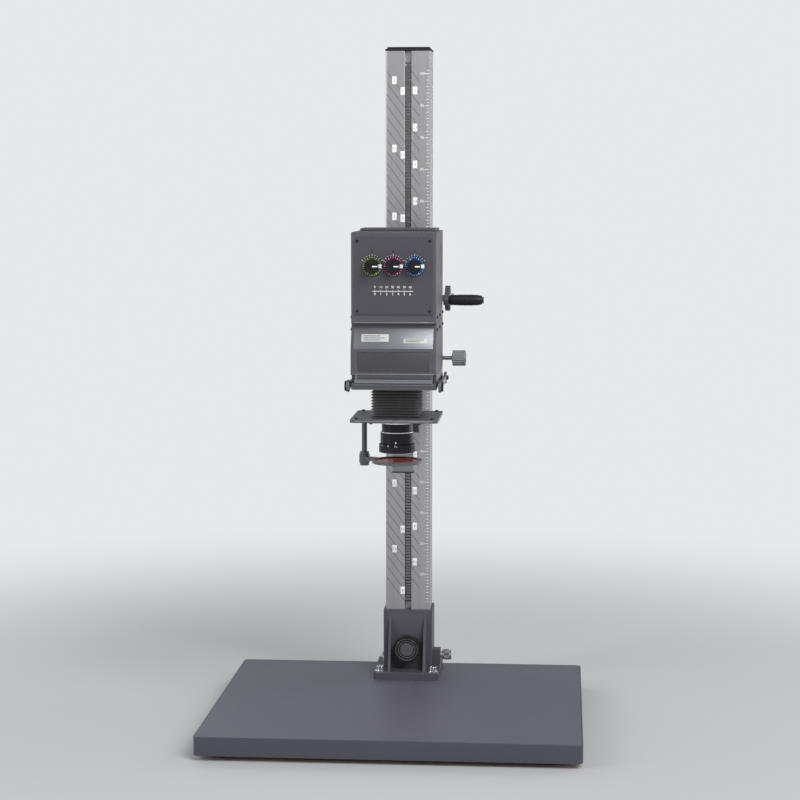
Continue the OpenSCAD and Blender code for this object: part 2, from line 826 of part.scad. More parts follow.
module iris() {
    color("#0f0f10") difference() {
        rod_z(16.9, barrel_bottom + 24, barrel_bottom + 25.2, 0, axis_y);
        translate([0, axis_y, barrel_bottom + 20]) cylinder(r = 8, h = 10, $fn = 10);
    }
}

module aperture_ring() {
    color("#202024") translate([0, axis_y, barrel_bottom + 1]) difference() {
        fluted_ring(27, 12.5, 30);
        translate([0, 0, -1]) cylinder(r = 22 + fit, h = 15);
    }
}

module fluted_ring(r, h, flutes) {
    difference() {
        cylinder(r = r, h = h);
        for (i = [0 : flutes - 1])
            rotate(i * 360 / flutes) translate([r + 1, 0, 2]) cylinder(r = 1.6, h = h - 5, $fn = 20);
    }
}

module focus_shaft() {
    color("#a9abb0") {
        rod_x(focus_shaft_r, -frame_half - 4, focus_x + 18, focus_y, focus_z);
        translate([0, focus_y, focus_z]) rotate([180, 0, 0])
            stand(8) gear_teeth(focus_module, focus_teeth);
        rod_x(5, -frame_half - 4, -frame_half - fit, focus_y, focus_z);
    }
}

module focus_knob() {
    color("#b9b9bd") difference() {
        translate([focus_x, focus_y, focus_z]) rotate([0, 90, 0]) fluted_knob(12, 20, 20);
        rod_x(focus_shaft_r, focus_x - 1, focus_x + 18, focus_y, focus_z);
    }
}

// ---- Red filter ----

module filter_holder() {
    centre = [0, axis_y];
    reach = norm(centre - post);
    turn = atan2(centre.y - post.y, centre.x - post.x);
    color("#3d3d42") difference() {
        union() {
            rod_z(filter_ring_r, ring_z, ring_z + 5, 0, axis_y);
            translate([post.x, post.y, ring_z]) rotate(turn)
                block([0, -6, 0], [reach - filter_ring_r + 4, 6, 5]);
            rod_z(8, ring_z - 4, ring_z + 9, post.x, post.y);
            block([-4, axis_y - filter_ring_r - 12, ring_z], [4, axis_y - filter_ring_r + 2, ring_z + 3]);
        }
        rod_z(filter_ring_r - 3.5, ring_z - 1, ring_z + 6, 0, axis_y);
        rod_z(4 + fit, ring_z - 9, ring_z + 14, post.x, post.y);
    }
}

module red_filter_glass() {
    color("#8e1f1c") rod_z(filter_ring_r - 3.5, ring_z + 1.5, ring_z + 3.5, 0, axis_y);
}

feet();
baseboard();
board_laminate();
edge_band();
column_bracket();
bracket_bolts();
column();
column_rack();
column_cap();
clamp_knob();
carriage_housing();
glide_pads();
shaft_bushes();
tilt_pivot();
pinion_shaft();
drive_pinion();
crank_arm();
crank_grip();
height_lock_knob();
head_frame();
negative_stage();
guide_rods();
focus_rail();
bellows();
tilt_lock_knob();
lamphouse_shell();
lower_housing();
control_panel();
lamp_chassis();
light_mirror();
mixing_box();
diffuser();
heat_glass();
filter_guides();
lamp_reflector();
halogen_lamp();
lamp_socket();
power_inlet();
lamp_cover();
yellow_dial();
magenta_dial();
cyan_dial();
yellow_filter();
magenta_filter();
cyan_filter();
lift_lever();
carrier_bottom();
carrier_top();
focus_slide();
focus_rack();
lens_stage();
lens_board();
lens_barrel();
lens_glass();
iris();
focus_shaft();
focus_knob();
aperture_ring();
filter_holder();
red_filter_glass();
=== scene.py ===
"""Looks of the photo enlarger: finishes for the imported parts, printed scales, bellows and fine fittings."""
import json
import math

import bmesh
import bpy
from mathutils import Matrix, Vector


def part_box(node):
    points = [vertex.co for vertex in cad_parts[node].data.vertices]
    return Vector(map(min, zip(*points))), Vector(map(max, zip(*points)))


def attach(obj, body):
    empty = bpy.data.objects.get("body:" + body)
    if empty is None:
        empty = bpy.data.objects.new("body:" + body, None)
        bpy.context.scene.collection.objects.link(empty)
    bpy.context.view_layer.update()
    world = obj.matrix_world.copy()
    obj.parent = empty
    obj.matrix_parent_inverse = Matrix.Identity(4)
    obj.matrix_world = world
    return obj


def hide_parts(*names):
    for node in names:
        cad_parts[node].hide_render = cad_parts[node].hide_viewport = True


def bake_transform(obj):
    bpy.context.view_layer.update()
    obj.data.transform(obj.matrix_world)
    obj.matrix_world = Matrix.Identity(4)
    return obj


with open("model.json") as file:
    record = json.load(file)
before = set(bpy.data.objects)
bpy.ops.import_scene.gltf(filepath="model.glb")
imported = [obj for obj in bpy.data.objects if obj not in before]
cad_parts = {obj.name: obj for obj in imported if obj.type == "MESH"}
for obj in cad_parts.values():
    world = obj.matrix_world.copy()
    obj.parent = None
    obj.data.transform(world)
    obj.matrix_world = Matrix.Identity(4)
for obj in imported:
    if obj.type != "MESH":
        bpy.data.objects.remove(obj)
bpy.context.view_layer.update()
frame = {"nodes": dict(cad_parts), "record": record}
MM = 0.001
RIGHT, BACK, UP = Vector((1, 0, 0)), Vector((0, 1, 0)), Vector((0, 0, 1))


# ---------------------------------------------------------------- finishes

class Graph:
    """A material and short calls for adding its nodes."""

    def __init__(self, name):
        self.material = bpy.data.materials.new(name)
        self.material.use_nodes = True
        self.tree = self.material.node_tree
        self.shader = self.tree.nodes["Principled BSDF"]
        self.place = self.add("ShaderNodeTexCoord").outputs["Object"]

    def add(self, kind, inputs=None, **settings):
        node = self.tree.nodes.new(kind)
        for key, value in settings.items():
            setattr(node, key, value)
        for key, value in (inputs or {}).items():
            self.put(node.inputs[key], value)
        return node

    def put(self, socket, value):
        if isinstance(value, bpy.types.NodeSocket):
            self.tree.links.new(value, socket)
        else:
            socket.default_value = value

    def noise(self, per_metre, detail=3.0, stretch=(1, 1, 1)):
        mapped = self.add("ShaderNodeMapping", {"Vector": self.place, "Scale": stretch})
        node = self.add("ShaderNodeTexNoise", {"Vector": mapped.outputs[0], "Scale": per_metre,
                                               "Detail": detail, "Roughness": 0.55})
        return node.outputs["Fac"]

    def ramp(self, value, low, high, to_low=0.0, to_high=1.0):
        node = self.add("ShaderNodeMapRange", {"Value": value, "From Min": low, "From Max": high,
                                               "To Min": to_low, "To Max": to_high})
        return node.outputs[0]

    def maths(self, operation, a, b):
        return self.add("ShaderNodeMath", {0: a, 1: b}, operation=operation).outputs[0]

    def mix(self, amount, a, b):
        node = self.add("ShaderNodeMix", {"Factor": amount}, data_type="RGBA")
        self.put(node.inputs[6], a)
        self.put(node.inputs[7], b)
        return node.outputs[2]

    def bump(self, height, strength, distance):
        inputs = {"Height": height, "Strength": strength, "Distance": distance}
        return self.add("ShaderNodeBump", inputs).outputs[0]

    def edges(self, radius):
        """1 on edges that rubbing would reach, 0 on flats."""
        rounded = self.add("ShaderNodeBevel", {"Radius": radius}, samples=4).outputs[0]
        flat = self.add("ShaderNodeNewGeometry").outputs["Normal"]
        dot = self.add("ShaderNodeVectorMath", {0: rounded, 1: flat}, operation="DOT_PRODUCT")
        return self.ramp(dot.outputs["Value"], 0.995, 0.90)

    def facing_up(self):
        normal = self.add("ShaderNodeNewGeometry").outputs["Normal"]
        parts = self.add("ShaderNodeSeparateXYZ", {0: normal})
        return self.ramp(parts.outputs["Z"], 0.6, 1.0)


def colour(values):
    return (*values[:3], 1.0)


def shade(values, factor):
    return tuple(min(1.0, v * factor) for v in values[:3])


def coat(name, base, rough=0.5, metal=0.0, grain=900.0, depth=0.05, mottle=0.05, wear=0.3,
         worn=(0.35, 0.35, 0.37), dust=0.04, stretch=(1, 1, 1), smear=0.03, shine=0.5):
    """Paint, plastic or metal with a fine surface grain, uneven tone, rubbed edges and a little dust."""
    g = Graph(name)
    patch = g.noise(14.0, 5.0)
    speck = g.noise(grain, 3.0, stretch)
    tone = g.mix(g.ramp(patch, 0.35, 0.65), colour(shade(base, 1 - mottle)), colour(shade(base, 1 + mottle)))
    tone = g.mix(g.ramp(speck, 0.40, 0.72, 0.0, 0.5), tone, colour(shade(base, 1.32)))
    if wear:
        scuffed = g.maths("MULTIPLY", g.edges(0.0008), g.ramp(g.noise(210.0, 6.0), 0.44, 0.64, 0.0, wear))
        tone = g.mix(scuffed, tone, colour(worn))
    if dust:
        settled = g.maths("MULTIPLY", g.facing_up(), g.ramp(g.noise(420.0, 8.0), 0.5, 0.8, 0.0, dust * 4))
        tone = g.mix(settled, tone, (0.42, 0.41, 0.40, 1))
    g.put(g.shader.inputs["Base Color"], tone)
    smudge = g.noise(30.0, 7.0)
    smooth, dull = max(0.05, rough - smear), min(1, rough + smear)
    g.put(g.shader.inputs["Roughness"], g.ramp(smudge, 0.3, 0.7, smooth, dull))
    g.put(g.shader.inputs["Metallic"], metal)
    g.put(g.shader.inputs["Specular IOR Level"], shine)
    g.put(g.shader.inputs["Normal"], g.bump(speck, depth * 4, 0.0004))
    return g.material


def brushed(name, base, rough=0.28, along=(1, 1, 0.01), lines=700.0):
    """Bare metal with fine lines in one direction."""
    g = Graph(name)
    line = g.noise(lines, 2.0, along)
    patch = g.noise(18.0, 4.0)
    tone = g.mix(g.ramp(line, 0.3, 0.7), colour(shade(base, 0.86)), colour(shade(base, 1.12)))
    tone = g.mix(g.ramp(patch, 0.45, 0.75, 0.0, 0.35), tone, colour(shade(base, 0.75)))
    g.put(g.shader.inputs["Base Color"], tone)
    g.put(g.shader.inputs["Metallic"], 1.0)
    g.put(g.shader.inputs["Roughness"], g.ramp(line, 0.3, 0.7, rough - 0.06, rough + 0.1))
    g.put(g.shader.inputs["Normal"], g.bump(line, 0.12, 0.0003))
    return g.material


def clear_glass(name, tint, rough=0.03, solid=0.35, shine=0.5, lens_coat=0.6):
    """Tinted glass, light to render: part tint, part see-through."""
    g = Graph(name)
    streak = g.noise(40.0, 3.0)
    tone = g.mix(g.ramp(streak, 0.3, 0.7, 0, 0.3), colour(tint), colour(shade(tint, 1.4)))
    g.put(g.shader.inputs["Base Color"], tone)
    g.put(g.shader.inputs["Roughness"], rough)
    g.put(g.shader.inputs["IOR"], 1.5)
    g.put(g.shader.inputs["Transmission Weight"], 1.0 - solid)
    g.put(g.shader.inputs["Specular IOR Level"], shine)
    g.put(g.shader.inputs["Coat Weight"], lens_coat)
    g.put(g.shader.inputs["Coat Tint"], (0.75, 0.7, 1.0, 1))
    return g.material


def cloth(name, base):
    """Coated bellows cloth: a fine weave under a slight sheen."""
    g = Graph(name)
    threads = {"Vector": g.place, "Scale": 420.0, "Distortion": 0.6}
    warp = g.add("ShaderNodeTexWave", threads, bands_direction="X")
    weft = g.add("ShaderNodeTexWave", threads, bands_direction="Z")
    weave = g.maths("MAXIMUM", warp.outputs["Fac"], weft.outputs["Fac"])
    scuff = g.maths("MULTIPLY", g.edges(0.0012), g.ramp(g.noise(200.0, 5.0), 0.4, 0.6, 0.0, 0.5))
    g.put(g.shader.inputs["Base Color"], g.mix(scuff, colour(base), (0.06, 0.06, 0.065, 1)))
    g.put(g.shader.inputs["Roughness"], g.ramp(g.noise(90.0), 0.3, 0.7, 0.5, 0.7))
    g.put(g.shader.inputs["Sheen Weight"], 0.25)
    g.put(g.shader.inputs["Normal"], g.bump(weave, 0.2, 0.0002))
    return g.material


def dial_ink(name, base):
    """A deep printed colour on the dials."""
    return coat(name, base, 0.5, grain=1500, wear=0, dust=0, shine=0.2)


def finishes():
    """One material per slot of the record, and a few for print and trim."""
    steel = (0.27, 0.275, 0.29)
    bright_worn = (0.5, 0.5, 0.52)
    return {
        "rubber_foot": coat("rubber_foot", (0.022, 0.022, 0.024), 0.85, grain=600, wear=0.0, dust=0.1),
        "board_core": coat("board_core", (0.42, 0.33, 0.22), 0.8, grain=300, depth=0.12, mottle=0.3, wear=0),
        "board_laminate": coat("board_laminate", (0.088, 0.086, 0.108), 0.40, grain=1500, depth=0.07,
                               mottle=0.015, wear=0.1, dust=0.03, smear=0.012),
        "edge_band": coat("edge_band", (0.058, 0.057, 0.074), 0.34, grain=800, mottle=0.03, wear=0.3,
                          worn=(0.26, 0.26, 0.3), dust=0),
        "cast_grey": coat("cast_grey", (0.062, 0.058, 0.072), 0.46, grain=620, depth=0.16, wear=0.5),
        "bright_steel": brushed("bright_steel", (0.72, 0.73, 0.75), 0.14, (1, 1, 1), 500),
        "column_metal": coat("column_metal", (0.36, 0.355, 0.37), 0.34, 0.6, 900, 0.03, 0.03, 0.25,
                             (0.6, 0.6, 0.62), 0.0, (1, 1, 0.012)),
        "rack_steel": brushed("rack_steel", (0.34, 0.34, 0.35), 0.38, (0.02, 1, 1)),
        "black_plastic": coat("black_plastic", (0.012, 0.012, 0.014), 0.46, grain=1100, depth=0.05, wear=0.25,
                              worn=(0.09, 0.09, 0.095), shine=0.28),
        "glide_nylon": coat("glide_nylon", (0.72, 0.7, 0.62), 0.5, wear=0),
        "bush_bronze": brushed("bush_bronze", (0.52, 0.33, 0.14), 0.34, (1, 1, 1)),
        "turned_steel": brushed("turned_steel", steel, 0.32, (0.02, 1, 1)),
        "gear_brass": brushed("gear_brass", (0.6, 0.46, 0.2), 0.3, (0.02, 1, 1)),
        "frame_paint": coat("frame_paint", (0.042, 0.042, 0.048), 0.44, grain=480, depth=0.2, wear=0.45),
        "stage_paint": coat("stage_paint", (0.058, 0.058, 0.066), 0.34, grain=800, depth=0.06, wear=0.55,
                            worn=bright_worn),
        "bellows_cloth": cloth("bellows_cloth", (0.010, 0.010, 0.012)),
        "case_paint": coat("case_paint", (0.062, 0.059, 0.071), 0.50, grain=760, depth=0.13, wear=0.45),
        "panel_paint": coat("panel_paint", (0.052, 0.049, 0.060), 0.38, grain=1300, depth=0.04, wear=0.3),
        "sheet_metal": brushed("sheet_metal", (0.44, 0.45, 0.47), 0.36, (0.02, 1, 1)),
        "mirror": brushed("mirror", (0.9, 0.91, 0.92), 0.08, (1, 1, 1), 60),
        "white_foam": coat("white_foam", (0.82, 0.82, 0.78), 0.8, grain=260, depth=0.2, wear=0),
        "opal": coat("opal", (0.85, 0.85, 0.8), 0.25, grain=120, depth=0.01, wear=0),
        "heat_glass": clear_glass("heat_glass", (0.6, 0.85, 0.8)),
        "reflector": brushed("reflector", (0.85, 0.85, 0.88), 0.1, (1, 1, 1), 300),
        "lamp_glass": clear_glass("lamp_glass", (0.95, 0.93, 0.85), solid=0.25),
        "ceramic": coat("ceramic", (0.78, 0.75, 0.67), 0.3, grain=500, wear=0),
        "dial_plastic": coat("dial_plastic", (0.009, 0.009, 0.010), 0.34, grain=1200, depth=0.03, wear=0.25,
                             worn=(0.12, 0.12, 0.125), shine=0.22),
        "yellow_glass": clear_glass("yellow_glass", (0.9, 0.78, 0.1)),
        "magenta_glass": clear_glass("magenta_glass", (0.75, 0.08, 0.4)),
        "cyan_glass": clear_glass("cyan_glass", (0.08, 0.55, 0.75)),
        "lever_metal": coat("lever_metal", (0.15, 0.15, 0.165), 0.32, 0.6, 900, 0.05, 0.05, 0.4, bright_worn),
        "carrier_metal": coat("carrier_metal", (0.20, 0.20, 0.22), 0.42, 0.7, 900, 0.04, 0.04, 0.5,
                              (0.75, 0.75, 0.77), 0.0, (0.02, 1, 1)),
        "plate_paint": coat("plate_paint", (0.075, 0.075, 0.080), 0.33, grain=800, depth=0.07, wear=0.5,
                            worn=bright_worn),
        "lens_black": coat("lens_black", (0.009, 0.009, 0.011), 0.26, 0.3, 1200, 0.03, 0.05, 0.35,
                           (0.2, 0.19, 0.18), 0.0, shine=0.3),
        "lens_glass": clear_glass("lens_glass", (0.16, 0.2, 0.42), 0.01, 0.3),
        "knob_grey": coat("knob_grey", (0.20, 0.20, 0.21), 0.38, grain=900, depth=0.04, wear=0.2,
                          worn=(0.45, 0.45, 0.45)),
        "red_glass": clear_glass("red_glass", (0.5, 0.03, 0.02), 0.12, 0.6, 0.12, 0.0),
        "white_print": coat("white_print", (0.8, 0.8, 0.78), 0.6, grain=1500, depth=0.02, wear=0, dust=0),
        "label_card": coat("label_card", (0.50, 0.50, 0.49), 0.55, grain=1500, depth=0.02, wear=0, dust=0),
        "grey_print": coat("grey_print", (0.045, 0.045, 0.05), 0.55, grain=1500, wear=0, dust=0),
        "yellow_print": dial_ink("yellow_print", (0.036, 0.058, 0.010)),
        "magenta_print": dial_ink("magenta_print", (0.095, 0.010, 0.050)),
        "cyan_print": dial_ink("cyan_print", (0.010, 0.050, 0.145)),
        "lead_insulation": coat("lead_insulation", (0.30, 0.05, 0.03), 0.6, grain=500, wear=0, dust=0),
    }


# The record's slot behind each extra finish.
MATERIALS = finishes()
NODE_SLOTS = {part["node"]: part["material_slot"] for part in frame["record"]["subparts"]}


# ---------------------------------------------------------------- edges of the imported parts

def soft_edges_group():
    """Joins split vertices, then shades smooth except across edges sharper than 32 degrees."""
    tree = bpy.data.node_groups.new("soft_edges", "GeometryNodeTree")
    tree.interface.new_socket("Geometry", in_out="INPUT", socket_type="NodeSocketGeometry")
    tree.interface.new_socket("Geometry", in_out="OUTPUT", socket_type="NodeSocketGeometry")
    first, last = tree.nodes.new("NodeGroupInput"), tree.nodes.new("NodeGroupOutput")
    weld = tree.nodes.new("GeometryNodeMergeByDistance")
    weld.inputs["Distance"].default_value = 2e-6
    angle = tree.nodes.new("GeometryNodeInputMeshEdgeAngle")
    sharp = tree.nodes.new("FunctionNodeCompare")
    sharp.inputs[1].default_value = math.radians(32)
    smooth_all = tree.nodes.new("GeometryNodeSetShadeSmooth")
    keep_sharp = tree.nodes.new("GeometryNodeSetShadeSmooth")
    keep_sharp.domain = "EDGE"
    keep_sharp.inputs["Shade Smooth"].default_value = False
    link = tree.links.new
    link(first.outputs[0], weld.inputs["Geometry"])
    link(weld.outputs[0], smooth_all.inputs["Geometry"])
    link(smooth_all.outputs[0], keep_sharp.inputs["Geometry"])
    link(angle.outputs["Unsigned Angle"], sharp.inputs[0])
    link(sharp.outputs[0], keep_sharp.inputs["Selection"])
    link(keep_sharp.outputs[0], last.inputs[0])
    return tree


SOFT_EDGES = soft_edges_group()
# Radius in millimetres of each moulded or machined edge; parts not named get a fine 0.3 mm one.
EDGE_RADIUS = {
    "baseboard": 0.0, "column_rack": 0.0, "focus_rack": 0.0, "drive_pinion": 0.0, "focus_shaft": 0.0,
    "edge_band": 0.8, "column_bracket": 0.22, "column": 0.5, "column_cap": 1.0, "carriage_housing": 0.7,
    "head_frame": 0.6, "lamphouse_shell": 0.7, "lower_housing": 0.6, "lamp_cover": 0.4,
    "negative_stage": 0.4, "lens_stage": 0.5, "lift_lever": 1.0, "crank_arm": 1.2, "clamp_knob": 0.8,
    "height_lock_knob": 0.8, "tilt_lock_knob": 0.8, "focus_knob": 0.6, "feet": 1.2, "focus_slide": 1.2,
    "yellow_dial": 0.5, "magenta_dial": 0.5, "cyan_dial": 0.5, "control_panel": 0.5,
}
# Parts where one tiny feature would otherwise shrink every bevel.
UNCLAMPED = ("lamphouse_shell", "head_frame", "lamp_cover", "carriage_housing", "negative_stage",
             "lower_housing", "column_bracket", "lens_stage")


def dress_packed_parts():
    for name, node in frame["nodes"].items():
        node.data.materials.clear()
        node.data.materials.append(MATERIALS[NODE_SLOTS[name]])
        node.modifiers.new("soft_edges", "NODES").node_group = SOFT_EDGES
        # Flat faces made whole first leave the bevel room for its full width.
        flat = node.modifiers.new("flat", "DECIMATE")
        flat.decimate_type = "DISSOLVE"
        flat.angle_limit = math.radians(0.3)
        flat.delimit = set()
        radius = EDGE_RADIUS.get(name, 0.3)
        if radius:
            bevel = node.modifiers.new("bevel", "BEVEL")
            bevel.width = radius * MM
            bevel.segments = 3 if radius >= 0.8 else 2
            bevel.limit_method = "ANGLE"
            bevel.angle_limit = math.radians(50)
            bevel.use_clamp_overlap = name not in UNCLAMPED
            bevel.harden_normals = False


dress_packed_parts()


# ---------------------------------------------------------------- building new pieces

class Shape:
    """Collects closed solids into one mesh. Lengths are in metres."""

    def __init__(self):
        self.mesh = bmesh.new()

    def box(self, low, high, bevel=0.0):
        made = bmesh.ops.create_cube(self.mesh, size=1.0)["verts"]
        low, high = Vector(low), Vector(high)
        for v in made:
            v.co = Vector((low[i] + (v.co[i] + 0.5) * (high[i] - low[i]) for i in range(3)))
        if bevel:
            edges = list({e for v in made for e in v.link_edges})
            bmesh.ops.bevel(self.mesh, geom=edges, offset=bevel, segments=2, profile=0.5, affect="EDGES")
        return self

    def lathe(self, profile, origin, axis, steps=48):
        """Turns (radius, height) points about the axis; ends at radius 0 close by themselves."""
        axis = Vector(axis).normalized()
        side = axis.orthogonal().normalized()
        other = axis.cross(side)
        origin = Vector(origin)
        rings = []
        for radius, height in profile:
            centre = origin + axis * height
            if radius < 1e-7:
                rings.append([self.mesh.verts.new(centre)])
                continue
            rings.append([self.mesh.verts.new(centre + radius * (math.cos(a) * side + math.sin(a) * other))
                          for a in (2 * math.pi * i / steps for i in range(steps))])
        pairs = list(zip(rings, rings[1:]))
        if len(rings[0]) > 1 and len(rings[-1]) > 1:
            pairs.append((rings[-1], rings[0]))
        for a, b in pairs:
            for i in range(steps):
                j = (i + 1) % steps
                corners = [a[i % len(a)], a[j % len(a)], b[j % len(b)], b[i % len(b)]]
                unique = list(dict.fromkeys(corners))
                if len(unique) > 2:
                    self.mesh.faces.new(unique)
        return self

    def loft(self, loops, closed=False):
        """Joins equal closed loops of points; caps the ends, or joins last to first when closed."""
        rows = [[self.mesh.verts.new(p) for p in loop] for loop in loops]
        pairs = list(zip(rows, rows[1:]))
        if closed:
            pairs.append((rows[-1], rows[0]))
        for a, b in pairs:
            for i in range(len(a)):
                j = (i + 1) % len(a)
                self.mesh.faces.new([a[i], a[j], b[j], b[i]])
        if not closed:
            self.mesh.faces.new(rows[0])
            self.mesh.faces.new(rows[-1])
        return self

    def text(self, words, size, centre, right=RIGHT, up=UP, depth=0.12 * MM):
        """Raised lettering whose face looks along right x up."""
        curve = bpy.data.curves.new("words", "FONT")
        curve.body = words
        curve.size = size
        curve.extrude = depth
        curve.resolution_u = 3
        curve.align_x = "CENTER"
        curve.align_y = "CENTER"
        holder = bpy.data.objects.new("words", curve)
        bpy.context.scene.collection.objects.link(holder)
        bpy.context.view_layer.update()
        flat = bpy.data.meshes.new_from_object(holder.evaluated_get(bpy.context.evaluated_depsgraph_get()))
        right, up = Vector(right).normalized(), Vector(up).normalized()
        turn = Matrix((right, up, right.cross(up))).transposed().to_4x4()
        flat.transform(Matrix.Translation(centre) @ turn)
        self.mesh.from_mesh(flat)
        bpy.data.objects.remove(holder)
        bpy.data.curves.remove(curve)
        bpy.data.meshes.remove(flat)
        return self

    def screw(self, place, normal, r=2.2 * MM):
        """A cap screw's head with its socket."""
        return self.lathe([(0, 0.25 * r), (0.5 * r, 0.25 * r), (0.52 * r, 0.75 * r), (0.8 * r, 0.8 * r),
                           (0.97 * r, 0.62 * r), (r, 0.5 * r), (r, -0.15 * r), (0, -0.15 * r)],
                          place, normal, 20)

    def disc(self, place, normal, r, height, chamfer=0.3 * MM, steps=56):
        return self.lathe([(0, 0), (r, 0), (r, height - chamfer), (r - chamfer, height), (0, height)],
                          place, normal, steps)

    def ring(self, place, normal, inner, outer, height, chamfer=0.2 * MM, steps=72):
        profile = [(inner, 0), (inner, height - chamfer), (inner + chamfer, height),
                   (outer - chamfer, height), (outer, height - chamfer), (outer, 0)]
        return self.lathe(profile, place, normal, steps)

    def knurl(self, place, axis, r, length, ridges=40, depth=0.35 * MM):
        """A drum with straight ridges and chamfered ends."""
        axis, place = Vector(axis).normalized(), Vector(place)
        side = axis.orthogonal().normalized()
        other = axis.cross(side)
        chamfer = min(0.6 * MM, length / 5)
        loops = []
        for height, shrink in ((0, chamfer), (chamfer, 0), (length - chamfer, 0), (length, chamfer)):
            loops.append([])
            for i in range(2 * ridges):
                q = (r if i % 2 else r - depth) - shrink
                a = math.pi * i / ridges
                loops[-1].append(place + axis * height + q * (math.cos(a) * side + math.sin(a) * other))
        return self.loft(loops)

    def tick(self, centre, out, normal, start, stop, width, height=0.1 * MM):
        """A raised line on a face, running outwards from a centre."""
        out, normal, centre = Vector(out).normalized(), Vector(normal).normalized(), Vector(centre)
        across = normal.cross(out) * (width / 2)
        return self.loft([[centre + out * r + across * s + normal * height * h
                           for s, h in ((-1, -1), (1, -1), (1, 1), (-1, 1))] for r in (start, stop)])

    def slab(self, centre, right, up, width, height, thick, bevel=0.2 * MM):
        """A thin plate lying on a face that looks along right x up."""
        right, up = Vector(right).normalized(), Vector(up).normalized()
        turn = Matrix((right, up, right.cross(up))).transposed()
        made = bmesh.ops.create_cube(self.mesh, size=1.0)["verts"]
        for v in made:
            v.co = Vector(centre) + turn @ Vector((v.co.x * width, v.co.y * height, v.co.z * thick))
        edges = list({e for v in made for e in v.link_edges})
        bmesh.ops.bevel(self.mesh, geom=edges, offset=bevel, segments=2, profile=0.5, affect="EDGES")
        return self

    def tube(self, points, r, steps=12):
        """A round lead along a smooth run of points."""
        points = [Vector(p) for p in points]
        loops = []
        side = None
        for i, p in enumerate(points):
            along = (points[min(i + 1, len(points) - 1)] - points[max(i - 1, 0)]).normalized()
            side = along.orthogonal() if side is None else side - along * side.dot(along)
            side.normalize()
            other = along.cross(side)
            loops.append([p + r * (math.cos(a) * side + math.sin(a) * other)
                          for a in (2 * math.pi * k / steps for k in range(steps))])
        return self.loft(loops)

    def finish(self, name, body, material, smooth=35):
        bmesh.ops.remove_doubles(self.mesh, verts=self.mesh.verts, dist=1e-7)
        bmesh.ops.recalc_face_normals(self.mesh, faces=self.mesh.faces)
        data = bpy.data.meshes.new(name)
        self.mesh.to_mesh(data)
        self.mesh.free()
        data.polygons.foreach_set("use_smooth", [True] * len(data.polygons))
        data.set_sharp_from_angle(angle=math.radians(smooth))
        data.materials.append(MATERIALS[material])
        piece = bpy.data.objects.new(name, data)
        bpy.context.scene.collection.objects.link(piece)
        if body:
            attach(piece, body)
        return piece


def middle(name):
    low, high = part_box(name)
    return (low + high) / 2


def half_width(name):
    low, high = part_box(name)
    return (high.x - low.x) / 2


# ---------------------------------------------------------------- bellows

def pleated_bellows():
    """Square cloth bellows with mitred corners, from the lens stage up to the film stage."""
    low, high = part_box("bellows")
    centre = (low + high) / 2
    folds = 9
    outer, inner, skin = (high.x - low.x) / 2, (high.x - low.x) / 2 - 7.5 * MM, 0.7 * MM
    rise = high.z - low.z
    cuff = 1.6 * MM

    def loop(half, z):
        cut = half * 0.16 if half > inner + 1 * MM else half * 0.05
        corners = []
        for sx, sy in ((1, 1), (-1, 1), (-1, -1), (1, -1)):
            first, second = (half - cut, half), (half, half - cut)
            if sx * sy > 0:
                first, second = second, first
            corners += [(sx * first[0], sy * first[1]), (sx * second[0], sy * second[1])]
        points = []
        for i, a in enumerate(corners):
            b = corners[(i + 1) % len(corners)]
            steps = 4 if i % 2 else 1
            for k in range(steps):
                t = k / steps
                sag = 0.6 * MM * math.sin(math.pi * t) if steps > 1 else 0.0
                x, y = a[0] + (b[0] - a[0]) * t, a[1] + (b[1] - a[1]) * t
                scale = 1 - sag / half
                points.append((centre.x + x * scale, centre.y + y * scale, z))
        return points

    levels = [(outer - 3 * MM, low.z), (outer - 3 * MM, low.z + cuff)]
    span = rise - 2 * cuff
    for i in range(2 * folds + 1):
        z = low.z + cuff + span * (i + 0.5) / (2 * folds + 1)
        levels.append((outer if i % 2 == 0 else inner, z))
    levels += [(outer - 3 * MM, high.z - cuff), (outer - 3 * MM, high.z)]
    outside = [loop(half, z) for half, z in levels]
    inside = [loop(half - skin * 1.6, z) for half, z in reversed(levels)]
    folded = Shape().loft(outside + inside, closed=True)
    piece = folded.finish("bellows_folds", None, "bellows_cloth", smooth=20)
    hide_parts("bellows")
    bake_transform(piece)


pleated_bellows()


# ---------------------------------------------------------------- column print

